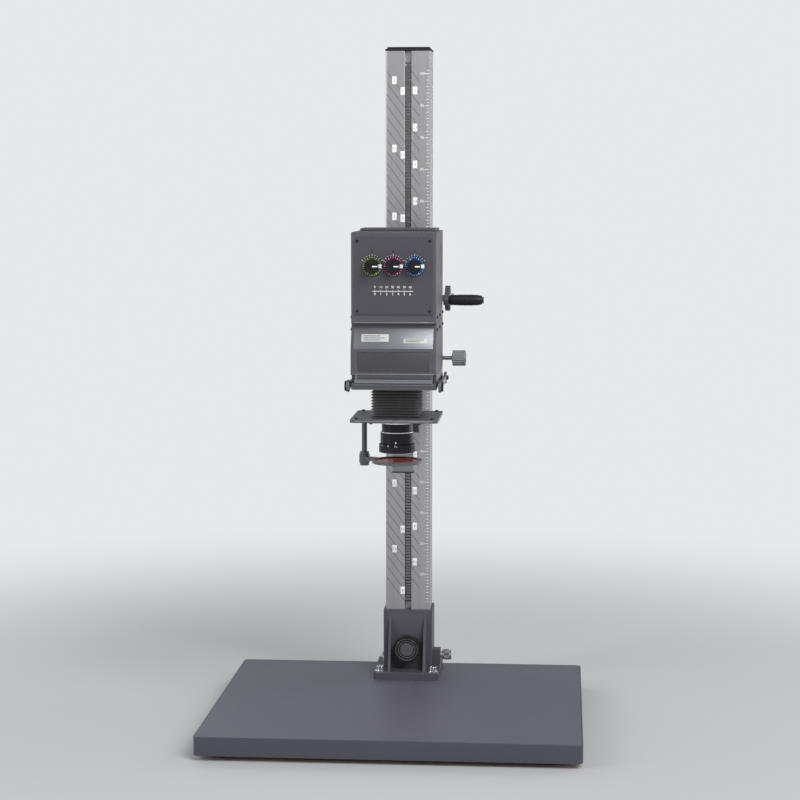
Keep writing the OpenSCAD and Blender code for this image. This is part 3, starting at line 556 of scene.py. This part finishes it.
def column_print():
    """Height ruler on the right margin, paper-size numbers and slanting lines down the column."""
    low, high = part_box("column")
    front = -BACK
    face = low.y
    half = (high.x - low.x) / 2
    groove = half_width("column_rack") + 1.8 * MM
    # The print is thinner than the gap under the carriage's glide pads, which pass over it.
    ink = 0.02 * MM
    ruler, marks, lines = Shape(), Shape(), Shape()
    start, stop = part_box("column_bracket")[1].z + 12 * MM, high.z - 22 * MM
    step = 5 * MM
    margin = half - 3 * MM
    for i in range(math.ceil(start / step), int(stop / step)):
        z = i * step
        wide = 6.5 * MM if i % 10 == 0 else 4.5 * MM if i % 2 == 0 else 3 * MM
        ruler.tick((margin, face, z), -RIGHT, front, 0, wide, 0.8 * MM, ink)
        if i % 10 == 0:
            ruler.text(str(i // 2), 6 * MM, (half - 14 * MM, face, z), depth=ink)
    # White fields with a figure, in three columns that each have their own pitch.
    field_w, field_h = 7 * MM, 12 * MM
    top = high.z - 46 * MM
    fields = ((-half + 14 * MM, 0, 107 * MM), (-groove - field_w / 2, 17 * MM, 100 * MM),
              (groove + 2 * MM + field_w / 2, 16 * MM, 58 * MM))
    for x, drop, pitch in fields:
        z = top - drop
        value = 2.0
        while z > start + field_h:
            marks.slab((x, face, z), RIGHT, UP, field_w, field_h, 4 * ink, ink / 2)
            lines.text(f"{value:g}", 5.2 * MM, (x, face, z), depth=2.3 * ink)
            z -= pitch
            value += 0.5
    # Slanting lines that lead from field to field.
    left, right = (-half + 2 * MM, -groove), (groove, half - 18.5 * MM)
    fall = 1.35
    for i in range(int((top - start) / (18 * MM))):
        z = top + 14 * MM - 18 * MM * i
        for a, b in (left, right):
            run = Vector((b - a, 0, -(b - a) * fall))
            lines.tick((a, face, z), run, front, 0, run.length, 0.7 * MM, 1.5 * ink)
    ruler.finish("column_ruler", "stand", "white_print")
    marks.finish("column_marks", "stand", "white_print")
    lines.finish("column_lines", "stand", "grey_print")


column_print()


# ---------------------------------------------------------------- colour dials and their panel

DIALS = (("yellow", "yellow_print"), ("magenta", "magenta_print"), ("cyan", "cyan_print"))


def dial_trim():
    panel_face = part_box("control_panel")[0].y
    front = -BACK
    print_marks = Shape()
    for name, ink in DIALS:
        low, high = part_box(f"{name}_dial")
        x, z = (low.x + high.x) / 2, (low.z + high.z) / 2
        rim = (high.x - low.x) / 2
        skirt = Vector((x, panel_face - 3.0 * MM, z))
        body = f"{name}_control"
        knob_r = rim - 5 * MM
        ring = Shape().ring(skirt, front, knob_r + 0.1 * MM, rim - 0.15 * MM, 0.5 * MM)
        ring.finish(f"{name}_scale_ring", body, ink)
        divisions = Shape()
        for k in range(1, 24):
            a = math.radians(15 * k)
            out = Vector((math.cos(a), 0, math.sin(a)))
            inner_r = rim - (3.6 if k % 4 == 0 else 2.0) * MM
            divisions.tick(skirt + front * 0.5 * MM, out, front, inner_r, rim - 0.7 * MM, 0.4 * MM, 0.12 * MM)
        # White arrow on the skirt, and its line across the knob's face, both on the right side: pointer
        # marks, drawn broad and white as a painted highlight of the knobs' lit right side.
        arrow_and_highlight = skirt + RIGHT * (rim - 2.7 * MM) + front * 0.55 * MM
        divisions.slab(arrow_and_highlight, RIGHT, UP, 4.8 * MM, 5.2 * MM, 0.5 * MM)
        divisions.slab((x + 1.5 * MM + (knob_r - 2 * MM) / 2, low.y + 0.3 * MM, z), RIGHT, UP,
                       knob_r - 2.1 * MM, 1.9 * MM, 0.8 * MM)
        divisions.finish(f"{name}_pointer_and_highlight", body, "white_print")
        cap = Shape().ring((x, low.y, z), front, knob_r - 2.2 * MM, knob_r - 1.7 * MM, 0.15 * MM, 0.05 * MM)
        cap.finish(f"{name}_knob_line", body, "lens_black")
        for k in range(9):
            a = math.radians(30 + 15 * k)
            out = Vector((math.cos(a), 0, math.sin(a)))
            long_mark = 3.0 if k % 4 == 0 else 2.0
            print_marks.tick((x, panel_face, z), out, front, rim + 0.7 * MM, rim + long_mark * MM, 0.5 * MM)
        dot_place = (x, panel_face + 0.1 * MM, z + rim + 7 * MM)
        dot = Shape().disc(dot_place, front, 2 * MM, 0.3 * MM, 0.1 * MM, 28)
        dot.finish(f"{name}_mark", "lamphouse", ink)
    # Two rows of generic figures under the dials, with a rule between them.
    low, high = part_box("control_panel")
    row_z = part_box("yellow_dial")[0].z - 22 * MM
    for k in range(7):
        x = -27 * MM + 8.6 * MM * k
        print_marks.text(str(10 * k), 4.6 * MM, (x, panel_face, row_z + 6 * MM))
        print_marks.text(str(k), 5.4 * MM, (x, panel_face, row_z - 4 * MM))
        print_marks.tick((x, panel_face, row_z), UP, front, 0.2 * MM, 2.2 * MM, 0.5 * MM)
    print_marks.tick((-31 * MM, panel_face, row_z), RIGHT, front, 0, 60 * MM, 0.7 * MM)
    print_marks.finish("panel_print", "lamphouse", "white_print")
    screws = Shape()
    for x in (low.x + 5 * MM, high.x - 5 * MM):
        for z in (low.z + 5 * MM, high.z - 5 * MM):
            screws.screw((x, panel_face, z), front, 1.9 * MM)
    screws.finish("panel_screws", "lamphouse", "lens_black")


dial_trim()


# ---------------------------------------------------------------- lamphouse trim

def lamphouse_trim():
    """Blank label cards, the sloping band's pale panel and pale edge strips as painted highlights, a darker
    sheet as painted shade in the recess, case screws and sheets behind the vents.
    """
    shell_low, shell_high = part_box("lamphouse_shell")
    house_low, house_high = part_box("lower_housing")
    shell_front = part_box("control_panel")[1].y
    seam = house_high.z
    half = shell_high.x
    # The sloping band's two edges, as depths under the seam, and how far back it runs between them.
    band_foot, band_head, band_run = 38 * MM, 5 * MM, 14 * MM
    slope_low = Vector((0, house_low.y, seam - band_foot))
    slope_high = Vector((0, house_low.y + band_run, seam - band_head))
    rise = slope_high - slope_low
    outward = RIGHT.cross(rise).normalized()
    labels, bars = Shape(), Shape()
    along = rise.normalized()
    # Each card's x, its place up the slope from 0 to 1, its size and its number of bars.
    cards = ((-27 * MM, 0.52, 40 * MM, 11.5 * MM, 3), (32 * MM, 0.40, 34 * MM, 7 * MM, 2))
    for x, up, width, height, rows in cards:
        centre = slope_low + rise * up + RIGHT * x + outward * 0.1 * MM
        labels.slab(centre, RIGHT, rise, width, height, 0.5 * MM)
        for row in range(rows):
            bar_w = width * (0.62 if row % 2 == 0 else 0.8)
            place = centre + outward * 0.27 * MM + along * height * ((row + 0.5) / rows - 0.5) * 0.8
            from_left = place - RIGHT * (width * 0.86 - bar_w) / 2
            bars.slab(from_left, RIGHT, rise, bar_w, 1.1 * MM, 0.1 * MM, 0.02 * MM)
    labels.finish("housing_labels", "lamphouse", "label_card")
    bars.finish("housing_label_bars", "lamphouse", "grey_print")
    # Pale metal panel that fills the slope round the labels; its pale colour is a painted highlight of the
    # light that the upward slope catches.
    panel = Shape()
    panel.slab(slope_low + rise * 0.5 - outward * 0.25 * MM, RIGHT, rise,
               2 * half - 9 * MM, rise.length - 4 * MM, 0.9 * MM, 0.3 * MM)
    panel.finish("housing_slope_highlight_panel", "lamphouse", "carrier_metal")
    # Darker sheet in the shallow recess under the slope: painted shade of the recess.
    recess_low, recess_high = house_low.z + 4 * MM, seam - 41 * MM
    sheet = Shape().slab((0, house_low.y + 1.1 * MM, (recess_low + recess_high) / 2), RIGHT, UP,
                         2 * (half - 10.4 * MM), recess_high - recess_low - 0.8 * MM, 0.4 * MM, 0.1 * MM)
    sheet.finish("housing_recess_painted_shade", "lamphouse", "frame_paint")
    # Pale strips along the front edges of the shell and the lower housing: painted highlights on those edges.
    strips = Shape()
    strips.box((-half + 4 * MM, shell_low.y - 0.5 * MM, seam + 1.2 * MM),
               (half - 4 * MM, shell_low.y + 0.3 * MM, seam + 2.8 * MM), 0.15 * MM)
    strips.box((-half + 3 * MM, house_low.y - 0.5 * MM, house_low.z + 0.8 * MM),
               (half - 3 * MM, house_low.y + 0.3 * MM, house_low.z + 2.4 * MM), 0.15 * MM)
    strips.finish("housing_edge_highlights", "lamphouse", "carrier_metal")
    screws = Shape()
    for side in (-1, 1):
        for y in (shell_low.y + 14 * MM, -45 * MM, 28 * MM):
            for z in (seam + 9 * MM, seam - 9 * MM):
                screws.screw((side * half, y, z), RIGHT * side, 2.2 * MM)
        for z in (seam + 9 * MM, shell_high.z - 14 * MM):
            screws.screw((side * (half - 8 * MM), shell_front + 162 * MM, z), BACK, 2.2 * MM)
    screws.finish("case_screws", "lamphouse", "lens_black")
    # Black sheets behind the cooling slots keep the lamp's light in.
    baffles = Shape()
    low_z, high_z = seam + 60 * MM, shell_high.z - 13 * MM
    near_y, far_y = -27 * MM, 37 * MM
    baffles.box((-half + 6 * MM, near_y, low_z), (-half + 7 * MM, far_y, high_z), 0.2 * MM)
    baffles.box((half - 7 * MM, near_y, low_z + 18 * MM), (half - 6 * MM, far_y, high_z), 0.2 * MM)
    baffles.box((-52 * MM, shell_front + 155.4 * MM, low_z + 5 * MM),
                (-8 * MM, shell_front + 156.2 * MM, high_z), 0.2 * MM)
    baffles.finish("vent_baffles", "lamphouse", "frame_paint")
    cover_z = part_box("lamp_cover")[0].z
    lid = Shape().box((-47 * MM, -25 * MM, cover_z + 0.4 * MM),
                      (47 * MM, 29 * MM, cover_z + 1.2 * MM), 0.2 * MM)
    for x in (-40 * MM, 40 * MM):
        for y in (-20 * MM, 24 * MM):
            lid.disc((x, y, cover_z + 0.8 * MM), UP, 2.5 * MM, 5.5 * MM, steps=20)
    lid.finish("cover_baffle", "cover", "frame_paint")


lamphouse_trim()


# ---------------------------------------------------------------- fittings

def stand_fittings():
    """Washers, the alignment screw's ridges, clips at the rack's ends and rings under the feet."""
    bolts_low, bolts_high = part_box("bracket_bolts")
    plate_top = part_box("column_bracket")[0].z + 12 * MM
    reach_x = -bolts_low.x - 6.5 * MM
    washers = Shape()
    for x in (-reach_x, reach_x):
        for y in (bolts_low.y + 6.5 * MM, bolts_high.y - 6.5 * MM):
            washers.ring((x, y, plate_top), UP, 4 * MM, 9 * MM, 1.4 * MM)
    screw_y, screw_z = column_front() + 12 * MM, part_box("baseboard")[1].z + 31 * MM
    washers.knurl((bolts_high.x - 12 * MM, screw_y, screw_z), RIGHT, 8.6 * MM, 9 * MM)
    washers.finish("bracket_washers", "stand", "bright_steel")
    face = column_front()
    clips = Shape()
    rack_low, rack_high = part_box("column_rack")
    for z in (rack_low.z + 6 * MM, rack_high.z - 6 * MM):
        for x in (rack_low.x - 0.6 * MM, rack_high.x + 0.6 * MM):
            clips.box((x - 0.9 * MM, face + 3.2 * MM, z - 2 * MM),
                      (x + 0.9 * MM, face + 8 * MM, z + 2 * MM), 0.2 * MM)
    clips.finish("rack_clips", "stand", "rack_steel")
    treads = Shape()
    box_low, box_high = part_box("feet")
    for x in (box_low.x + 16 * MM, box_high.x - 16 * MM):
        for y in (box_low.y + 16 * MM, box_high.y - 16 * MM):
            treads.ring((x, y, 1.2 * MM), -UP, 5 * MM, 12.5 * MM, 0.8 * MM)
    treads.finish("feet_tread", "stand", "rubber_foot")


def column_front():
    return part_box("column")[0].y


def knob_faces():
    """A ringed insert on the face of each clamp and lock knob."""
    for node, body, axis in (("clamp_knob", "column_clamp", -BACK),
                             ("height_lock_knob", "height_lock", -RIGHT),
                             ("tilt_lock_knob", "tilt_lock", -RIGHT)):
        low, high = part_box(node)
        centre = (low + high) / 2
        face = Vector((centre.x, low.y, centre.z)) if axis == -BACK else Vector((low.x, centre.y, centre.z))
        r = (high.z - low.z) / 2
        insert = Shape()
        insert.disc(face, axis, r * 0.5, 0.7 * MM)
        insert.ring(face, axis, r * 0.60, r * 0.66, 0.35 * MM, 0.1 * MM)
        insert.ring(face, axis, r * 0.80, r * 0.84, 0.35 * MM, 0.1 * MM)
        insert.finish(f"{node}_insert", body, "plate_paint")


def tilt_scale():
    """Degree marks on the carriage round the tilting hub, and the hub's index line."""
    low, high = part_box("tilt_pivot")
    face = Vector((0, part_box("carriage_housing")[0].y, (low.z + high.z) / 2))
    hub_r = 32 * MM
    marks = Shape()
    for k in range(-18, 19):
        a = math.radians(90 + 5 * k)
        out = Vector((math.cos(a), 0, math.sin(a)))
        marks.tick(face, out, -BACK, hub_r + 1 * MM, hub_r + (5.5 if k % 3 == 0 else 3.5) * MM, 0.6 * MM)
        if k % 6 == 0 and abs(k) < 18:
            marks.text(str(abs(5 * k)), 5 * MM, face + out * (hub_r + 9 * MM))
    marks.finish("tilt_scale", "carriage", "white_print")
    index = Shape()
    index.box((-0.5 * MM, face.y - 14 * MM, face.z + hub_r - 0.3 * MM),
              (0.5 * MM, face.y - 3 * MM, face.z + hub_r + 0.15 * MM))
    index.finish("tilt_index", "head", "white_print")


def carriage_fittings():
    """Carriage screws and a blank plate, the crank's nut, its grip's ridges and the focus knob's cap."""
    low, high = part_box("carriage_housing")
    screws = Shape()
    for x in (-26 * MM, 26 * MM):
        for z in (low.z + 14 * MM, high.z - 14 * MM):
            screws.ring((x, high.y, z), BACK, 2.6 * MM, 6 * MM, 1.2 * MM)
            screws.screw((x, high.y + 0.4 * MM, z), BACK, 3.6 * MM)
    # The cheeks' screws stand in three rows from front to back.
    front_y, middle_y, rear_y = 147 * MM, 181 * MM, 212 * MM
    cheek_screws = ((front_y, low.z + 14 * MM), (front_y, low.z + 56 * MM), (middle_y, high.z - 16 * MM),
                    (rear_y, high.z - 16 * MM), (rear_y, high.z - 68 * MM))
    for side in (-1, 1):
        x = side * (high.x - 2 * MM)
        for y, z in cheek_screws:
            screws.screw((x, y, z), RIGHT * side, 2.6 * MM)
    screws.finish("carriage_screws", "carriage", "bright_steel")
    plate = Shape()
    centre = Vector((0, high.y - 1.8 * MM, (low.z + high.z) / 2))
    plate.slab(centre, -RIGHT, UP, 26 * MM, 44 * MM, 0.8 * MM)
    for x in (-10 * MM, 10 * MM):
        for z in (-19 * MM, 19 * MM):
            plate.disc(centre + RIGHT * x + UP * z, BACK, 1.3 * MM, 1 * MM, steps=16)
    plate.finish("rating_plate", "carriage", "sheet_metal")
    axis = middle("pinion_shaft")
    shaft_end = (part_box("pinion_shaft")[1].x, axis.y, axis.z)
    nut = Shape()
    nut.ring(shaft_end, RIGHT, 4 * MM, 9.5 * MM, 1 * MM)
    nut.lathe([(0, 0.5 * MM), (8 * MM, 0.5 * MM), (8 * MM, 5 * MM), (0, 5 * MM)], shaft_end, RIGHT, 6)
    dome = [(0, 4.5 * MM)] + [(6 * MM * math.cos(a), 4.8 * MM + 4.5 * MM * math.sin(a))
                              for a in (math.radians(15 * k) for k in range(6))] + [(0, 9.3 * MM)]
    nut.lathe(dome, shaft_end, RIGHT, 40)
    nut.finish("crank_nut", "crank", "bright_steel")
    grip_start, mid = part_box("crank_grip")[0].x, middle("crank_grip")
    rings = Shape()
    for k in range(3):
        x = grip_start + (16 + 9 * k) * MM
        rings.ring((x, mid.y, mid.z), RIGHT, 7 * MM, 8.8 * MM, 1.4 * MM, 0.4 * MM)
    rings.finish("grip_ridges", "grip", "black_plastic")
    knob_low, knob_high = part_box("focus_knob")
    knob_mid = (knob_low + knob_high) / 2
    cap = Shape().disc((knob_high.x, knob_mid.y, knob_mid.z), RIGHT, 8 * MM, 0.8 * MM)
    cap.ring((knob_low.x, knob_mid.y, knob_mid.z), -RIGHT, 3 * MM, 7 * MM, 1 * MM)
    cap.finish("focus_knob_cap", "focus_drive", "turned_steel")


def head_fittings():
    """Screws of the head frame and the lens stage, the rail's stop, lever pads and pale edge strips that
    paint highlights.
    """
    frame_low, frame_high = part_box("head_frame")
    screws = Shape()
    back = frame_low.y + 24 * MM
    for x in (-37 * MM, 37 * MM):
        for z in (frame_low.z + 6.5 * MM, frame_high.z - 6.5 * MM):
            screws.screw((x, back, z), BACK, 2.6 * MM)
    screws.finish("head_screws", "head", "bright_steel")
    stop = Shape()
    rail_end = (0, middle("focus_rail").y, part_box("focus_rail")[0].z - 0.8 * MM)
    stop.slab(rail_end, RIGHT, BACK, 34 * MM, 9.6 * MM, 2 * MM, 0.5 * MM)
    stop.finish("rail_stop", "head", "black_plastic")
    stage_low, stage_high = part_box("negative_stage")
    # Pale strip along the film stage's front top edge: a painted highlight on that edge.
    trim = Shape()
    top = stage_low.z + 10 * MM
    trim.box((stage_low.x + 4 * MM, stage_low.y - 0.4 * MM, top - 3.2 * MM),
             (stage_high.x - 4 * MM, stage_low.y + 0.2 * MM, top - 1.6 * MM), 0.15 * MM)
    trim.finish("film_stage_edge_highlight", "head", "carrier_metal")
    lever_low, lever_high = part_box("lift_lever")
    pads = Shape()
    for side in (-1, 1):
        x = side * lever_high.x
        front_y, rear_y = lever_low.y + 9 * MM, lever_high.y - 9 * MM
        z = (lever_low.z + lever_high.z) / 2
        pads.knurl((x - side * 0.4 * MM, front_y, z), RIGHT * side, 7.6 * MM, 3.4 * MM, 24, 0.5 * MM)
        pads.screw((x, rear_y, z), RIGHT * side, 3.4 * MM)
    pads.finish("lever_pads", "lever", "black_plastic")
    plate_low, plate_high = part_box("lens_stage")
    corners = Shape()
    centre = middle("lens_board")
    plate_z, board_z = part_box("bellows")[0].z - 5 * MM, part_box("lens_board")[0].z
    for x in (-1, 1):
        for y in (-1, 1):
            corners.screw((centre.x + x * 36 * MM, centre.y + y * 36 * MM, board_z), -UP, 2.4 * MM)
            corners.screw((centre.x + x * 56 * MM, centre.y + y * 56 * MM, plate_z + 5 * MM), UP, 2.4 * MM)
    slide_front, slide_screw_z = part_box("focus_slide")[0].y, 487 * MM
    for x in (-20 * MM, 20 * MM):
        corners.screw((x, slide_front, slide_screw_z), -BACK, 2.2 * MM)
    corners.finish("lens_stage_screws", "lens_unit", "lens_black")
    # Pale strip along the lens stage's front edge: a painted highlight on that edge.
    edge = Shape()
    edge.box((plate_low.x + 8 * MM, plate_low.y - 0.35 * MM, plate_z + 1.4 * MM),
             (plate_high.x - 8 * MM, plate_low.y + 0.2 * MM, plate_z + 3.6 * MM), 0.15 * MM)
    edge.finish("lens_stage_edge_highlight", "lens_unit", "carrier_metal")


def lamp_leads():
    """Two sleeved leads from the lamp socket to the power inlet."""
    socket_low, socket_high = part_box("lamp_socket")
    inlet_low, inlet_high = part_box("power_inlet")
    leads = Shape()
    for k, x in enumerate((-5 * MM, 5 * MM)):
        start = Vector((x, (socket_low.y + socket_high.y) / 2, socket_high.z - 1 * MM))
        end_x = inlet_low.x + (8 + 12 * k) * MM
        end = Vector((end_x, inlet_low.y + 1 * MM, (inlet_low.z + inlet_high.z) / 2))
        points = []
        for i in range(25):
            t = i / 24
            lift = 14 * MM * math.sin(math.pi * t)
            points.append(start.lerp(end, t) + UP * lift - BACK * lift * 0.6)
        leads.tube(points, 1.3 * MM)
    leads.finish("lamp_leads", "lamphouse", "lead_insulation")


def lens_details():
    """Aperture figures on the ring, the index dot, the seat ring and the thread inside the front."""
    barrel_low, barrel_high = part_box("lens_barrel")
    ring_low, ring_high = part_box("aperture_ring")
    axis = Vector(((ring_low.x + ring_high.x) / 2, (ring_low.y + ring_high.y) / 2, 0))
    ring_r = (ring_high.x - ring_low.x) / 2
    barrel_r = (barrel_high.x - barrel_low.x) / 2
    figures = Shape()
    # The ring turns 100 degrees, which brings each figure in turn under the index dot.
    for k, words in enumerate(("5.6", "8", "11", "16", "22")):
        a = math.radians(-90 - 25 * k)
        out = Vector((math.cos(a), math.sin(a), 0))
        place = axis + out * (ring_r + 0.02 * MM) + UP * (ring_high.z - 1.6 * MM)
        figures.text(words, 3.2 * MM, place, UP.cross(out), UP)
    figures.finish("aperture_figures", "aperture", "white_print")
    dot = Shape()
    a = math.radians(-90)
    out = Vector((math.cos(a), math.sin(a), 0))
    dot_place = axis + out * (barrel_r - 0.2 * MM) + UP * (ring_high.z + 3.4 * MM)
    dot.disc(dot_place, out, 1.2 * MM, 0.4 * MM, 0.1 * MM, 20)
    dot.finish("aperture_index", "lens_unit", "white_print")
    rings = Shape()
    rings.ring(axis + UP * (ring_high.z + 17.2 * MM), UP, barrel_r - 3 * MM, barrel_r - 0.6 * MM, 1.2 * MM)
    rings.ring(axis + UP * (barrel_high.z - 7.5 * MM), -UP, 19 * MM, 26 * MM, 2.0 * MM)
    rings.ring(axis + UP * barrel_low.z, -UP, 20.6 * MM, 21.9 * MM, 0.4 * MM, 0.1 * MM)
    rings.finish("lens_rings", "lens_unit", "bright_steel")
    thread = Shape()
    for k in range(5):
        turn = axis + UP * (barrel_low.z + (0.6 + 0.85 * k) * MM)
        thread.ring(turn, UP, 19.7 * MM, 20.5 * MM, 0.45 * MM, 0.15 * MM)
    thread.ring(axis + UP * (barrel_low.z + 5 * MM), -UP, 14.5 * MM, 18 * MM, 0.5 * MM)
    thread.finish("lens_front_thread", "lens_unit", "lens_black")


def red_filter_details():
    """Ridges on the red filter's finger tab and the ring that keeps its glass."""
    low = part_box("filter_holder")[0]
    axis_x = middle("red_filter_glass").x
    tab = Shape()
    for k in range(4):
        y = low.y + (1.6 + 2.2 * k) * MM
        tab.box((axis_x - 3.6 * MM, y - 0.5 * MM, low.z + 6.4 * MM),
                (axis_x + 3.6 * MM, y + 0.5 * MM, low.z + 7.6 * MM), 0.2 * MM)
    tab.finish("filter_tab_ridges", "red_filter", "plate_paint")
    glass_low, glass_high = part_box("red_filter_glass")
    glass = (glass_low + glass_high) / 2
    keeper = Shape().ring((glass.x, glass.y, glass_high.z), UP, (glass_high.x - glass_low.x) / 2 - 1.6 * MM,
                          (glass_high.x - glass_low.x) / 2 + 0.4 * MM, 0.9 * MM)
    keeper.finish("filter_keeper", "red_filter", "lens_black")


for make_pieces in (stand_fittings, knob_faces, tilt_scale, carriage_fittings, head_fittings, lamp_leads,
                    lens_details, red_filter_details):
    make_pieces()


# ---------------------------------------------------------------- stage, floor and light

BACKDROP = (0.80, 0.81, 0.83, 1)


def stage():
    """A pale floor that fades into the backdrop, so that no horizon shows from any side."""
    bpy.ops.mesh.primitive_plane_add(size=120, location=(0, 0, 0))
    floor = bpy.context.object
    floor.name = "floor"
    g = Graph("floor")
    g.put(g.shader.inputs["Base Color"], (0.50, 0.505, 0.515, 1))
    g.put(g.shader.inputs["Roughness"], 0.8)
    reach = g.add("ShaderNodeVectorMath", {0: g.place}, operation="LENGTH").outputs["Value"]
    fade = g.add("ShaderNodeMapRange", {"Value": reach, "From Min": 0.45, "From Max": 2.0},
                 interpolation_type="SMOOTHERSTEP").outputs[0]
    glow = g.add("ShaderNodeEmission", {"Color": BACKDROP, "Strength": 1.0})
    blend = g.add("ShaderNodeMixShader", {0: fade, 1: g.shader.outputs[0], 2: glow.outputs[0]})
    g.put(g.tree.nodes["Material Output"].inputs["Surface"], blend.outputs[0])
    floor.data.materials.append(g.material)
    world = bpy.data.worlds.new("studio")
    bpy.context.scene.world = world
    world.use_nodes = True
    tree = world.node_tree
    seen, lit = tree.nodes["Background"], tree.nodes.new("ShaderNodeBackground")
    seen.inputs[0].default_value = BACKDROP
    seen.inputs[1].default_value = 1.0
    lit.inputs[0].default_value = (0.92, 0.94, 1.0, 1)
    lit.inputs[1].default_value = 0.33
    pick, path = tree.nodes.new("ShaderNodeMixShader"), tree.nodes.new("ShaderNodeLightPath")
    tree.links.new(path.outputs["Is Camera Ray"], pick.inputs[0])
    tree.links.new(lit.outputs[0], pick.inputs[1])
    tree.links.new(seen.outputs[0], pick.inputs[2])
    tree.links.new(pick.outputs[0], tree.nodes["World Output"].inputs["Surface"])
    bpy.context.scene.view_settings.view_transform = "Standard"
    bpy.context.scene.view_settings.look = "None"


def area_light(name, place, target, size, power):
    data = bpy.data.lights.new(name, "AREA")
    data.shape = "RECTANGLE"
    data.size, data.size_y = size
    data.energy = power
    lamp = bpy.data.objects.new(name, data)
    lamp.location = place
    lamp.rotation_euler = (Vector(target) - Vector(place)).to_track_quat("-Z", "Y").to_euler()
    bpy.context.scene.collection.objects.link(lamp)


def camera():
    """The photo's own viewpoint: above the table, a little to the right of the enlarger."""
    data = bpy.data.cameras.new("camera")
    data.lens = 92
    eye = bpy.data.objects.new("camera", data)
    eye.location = (0.245, -3.085, 0.823)
    target = Vector((0, 0, 0.5))
    eye.rotation_euler = (target - eye.location).to_track_quat("-Z", "Y").to_euler()
    bpy.context.scene.collection.objects.link(eye)
    bpy.context.scene.camera = eye


stage()
area_light("key", (1.5, -2.2, 2.5), (0, 0, 0.55), (1.9, 1.9), 95)
area_light("fill", (-2.4, -1.6, 1.3), (0, 0, 0.5), (1.2, 1.8), 30)
area_light("back_left", (-1.9, 2.0, 1.9), (0, 0, 0.6), (2.4, 2.4), 26)
area_light("back_right", (2.3, 1.5, 1.2), (0, 0, 0.6), (1.6, 2.2), 24)
camera()
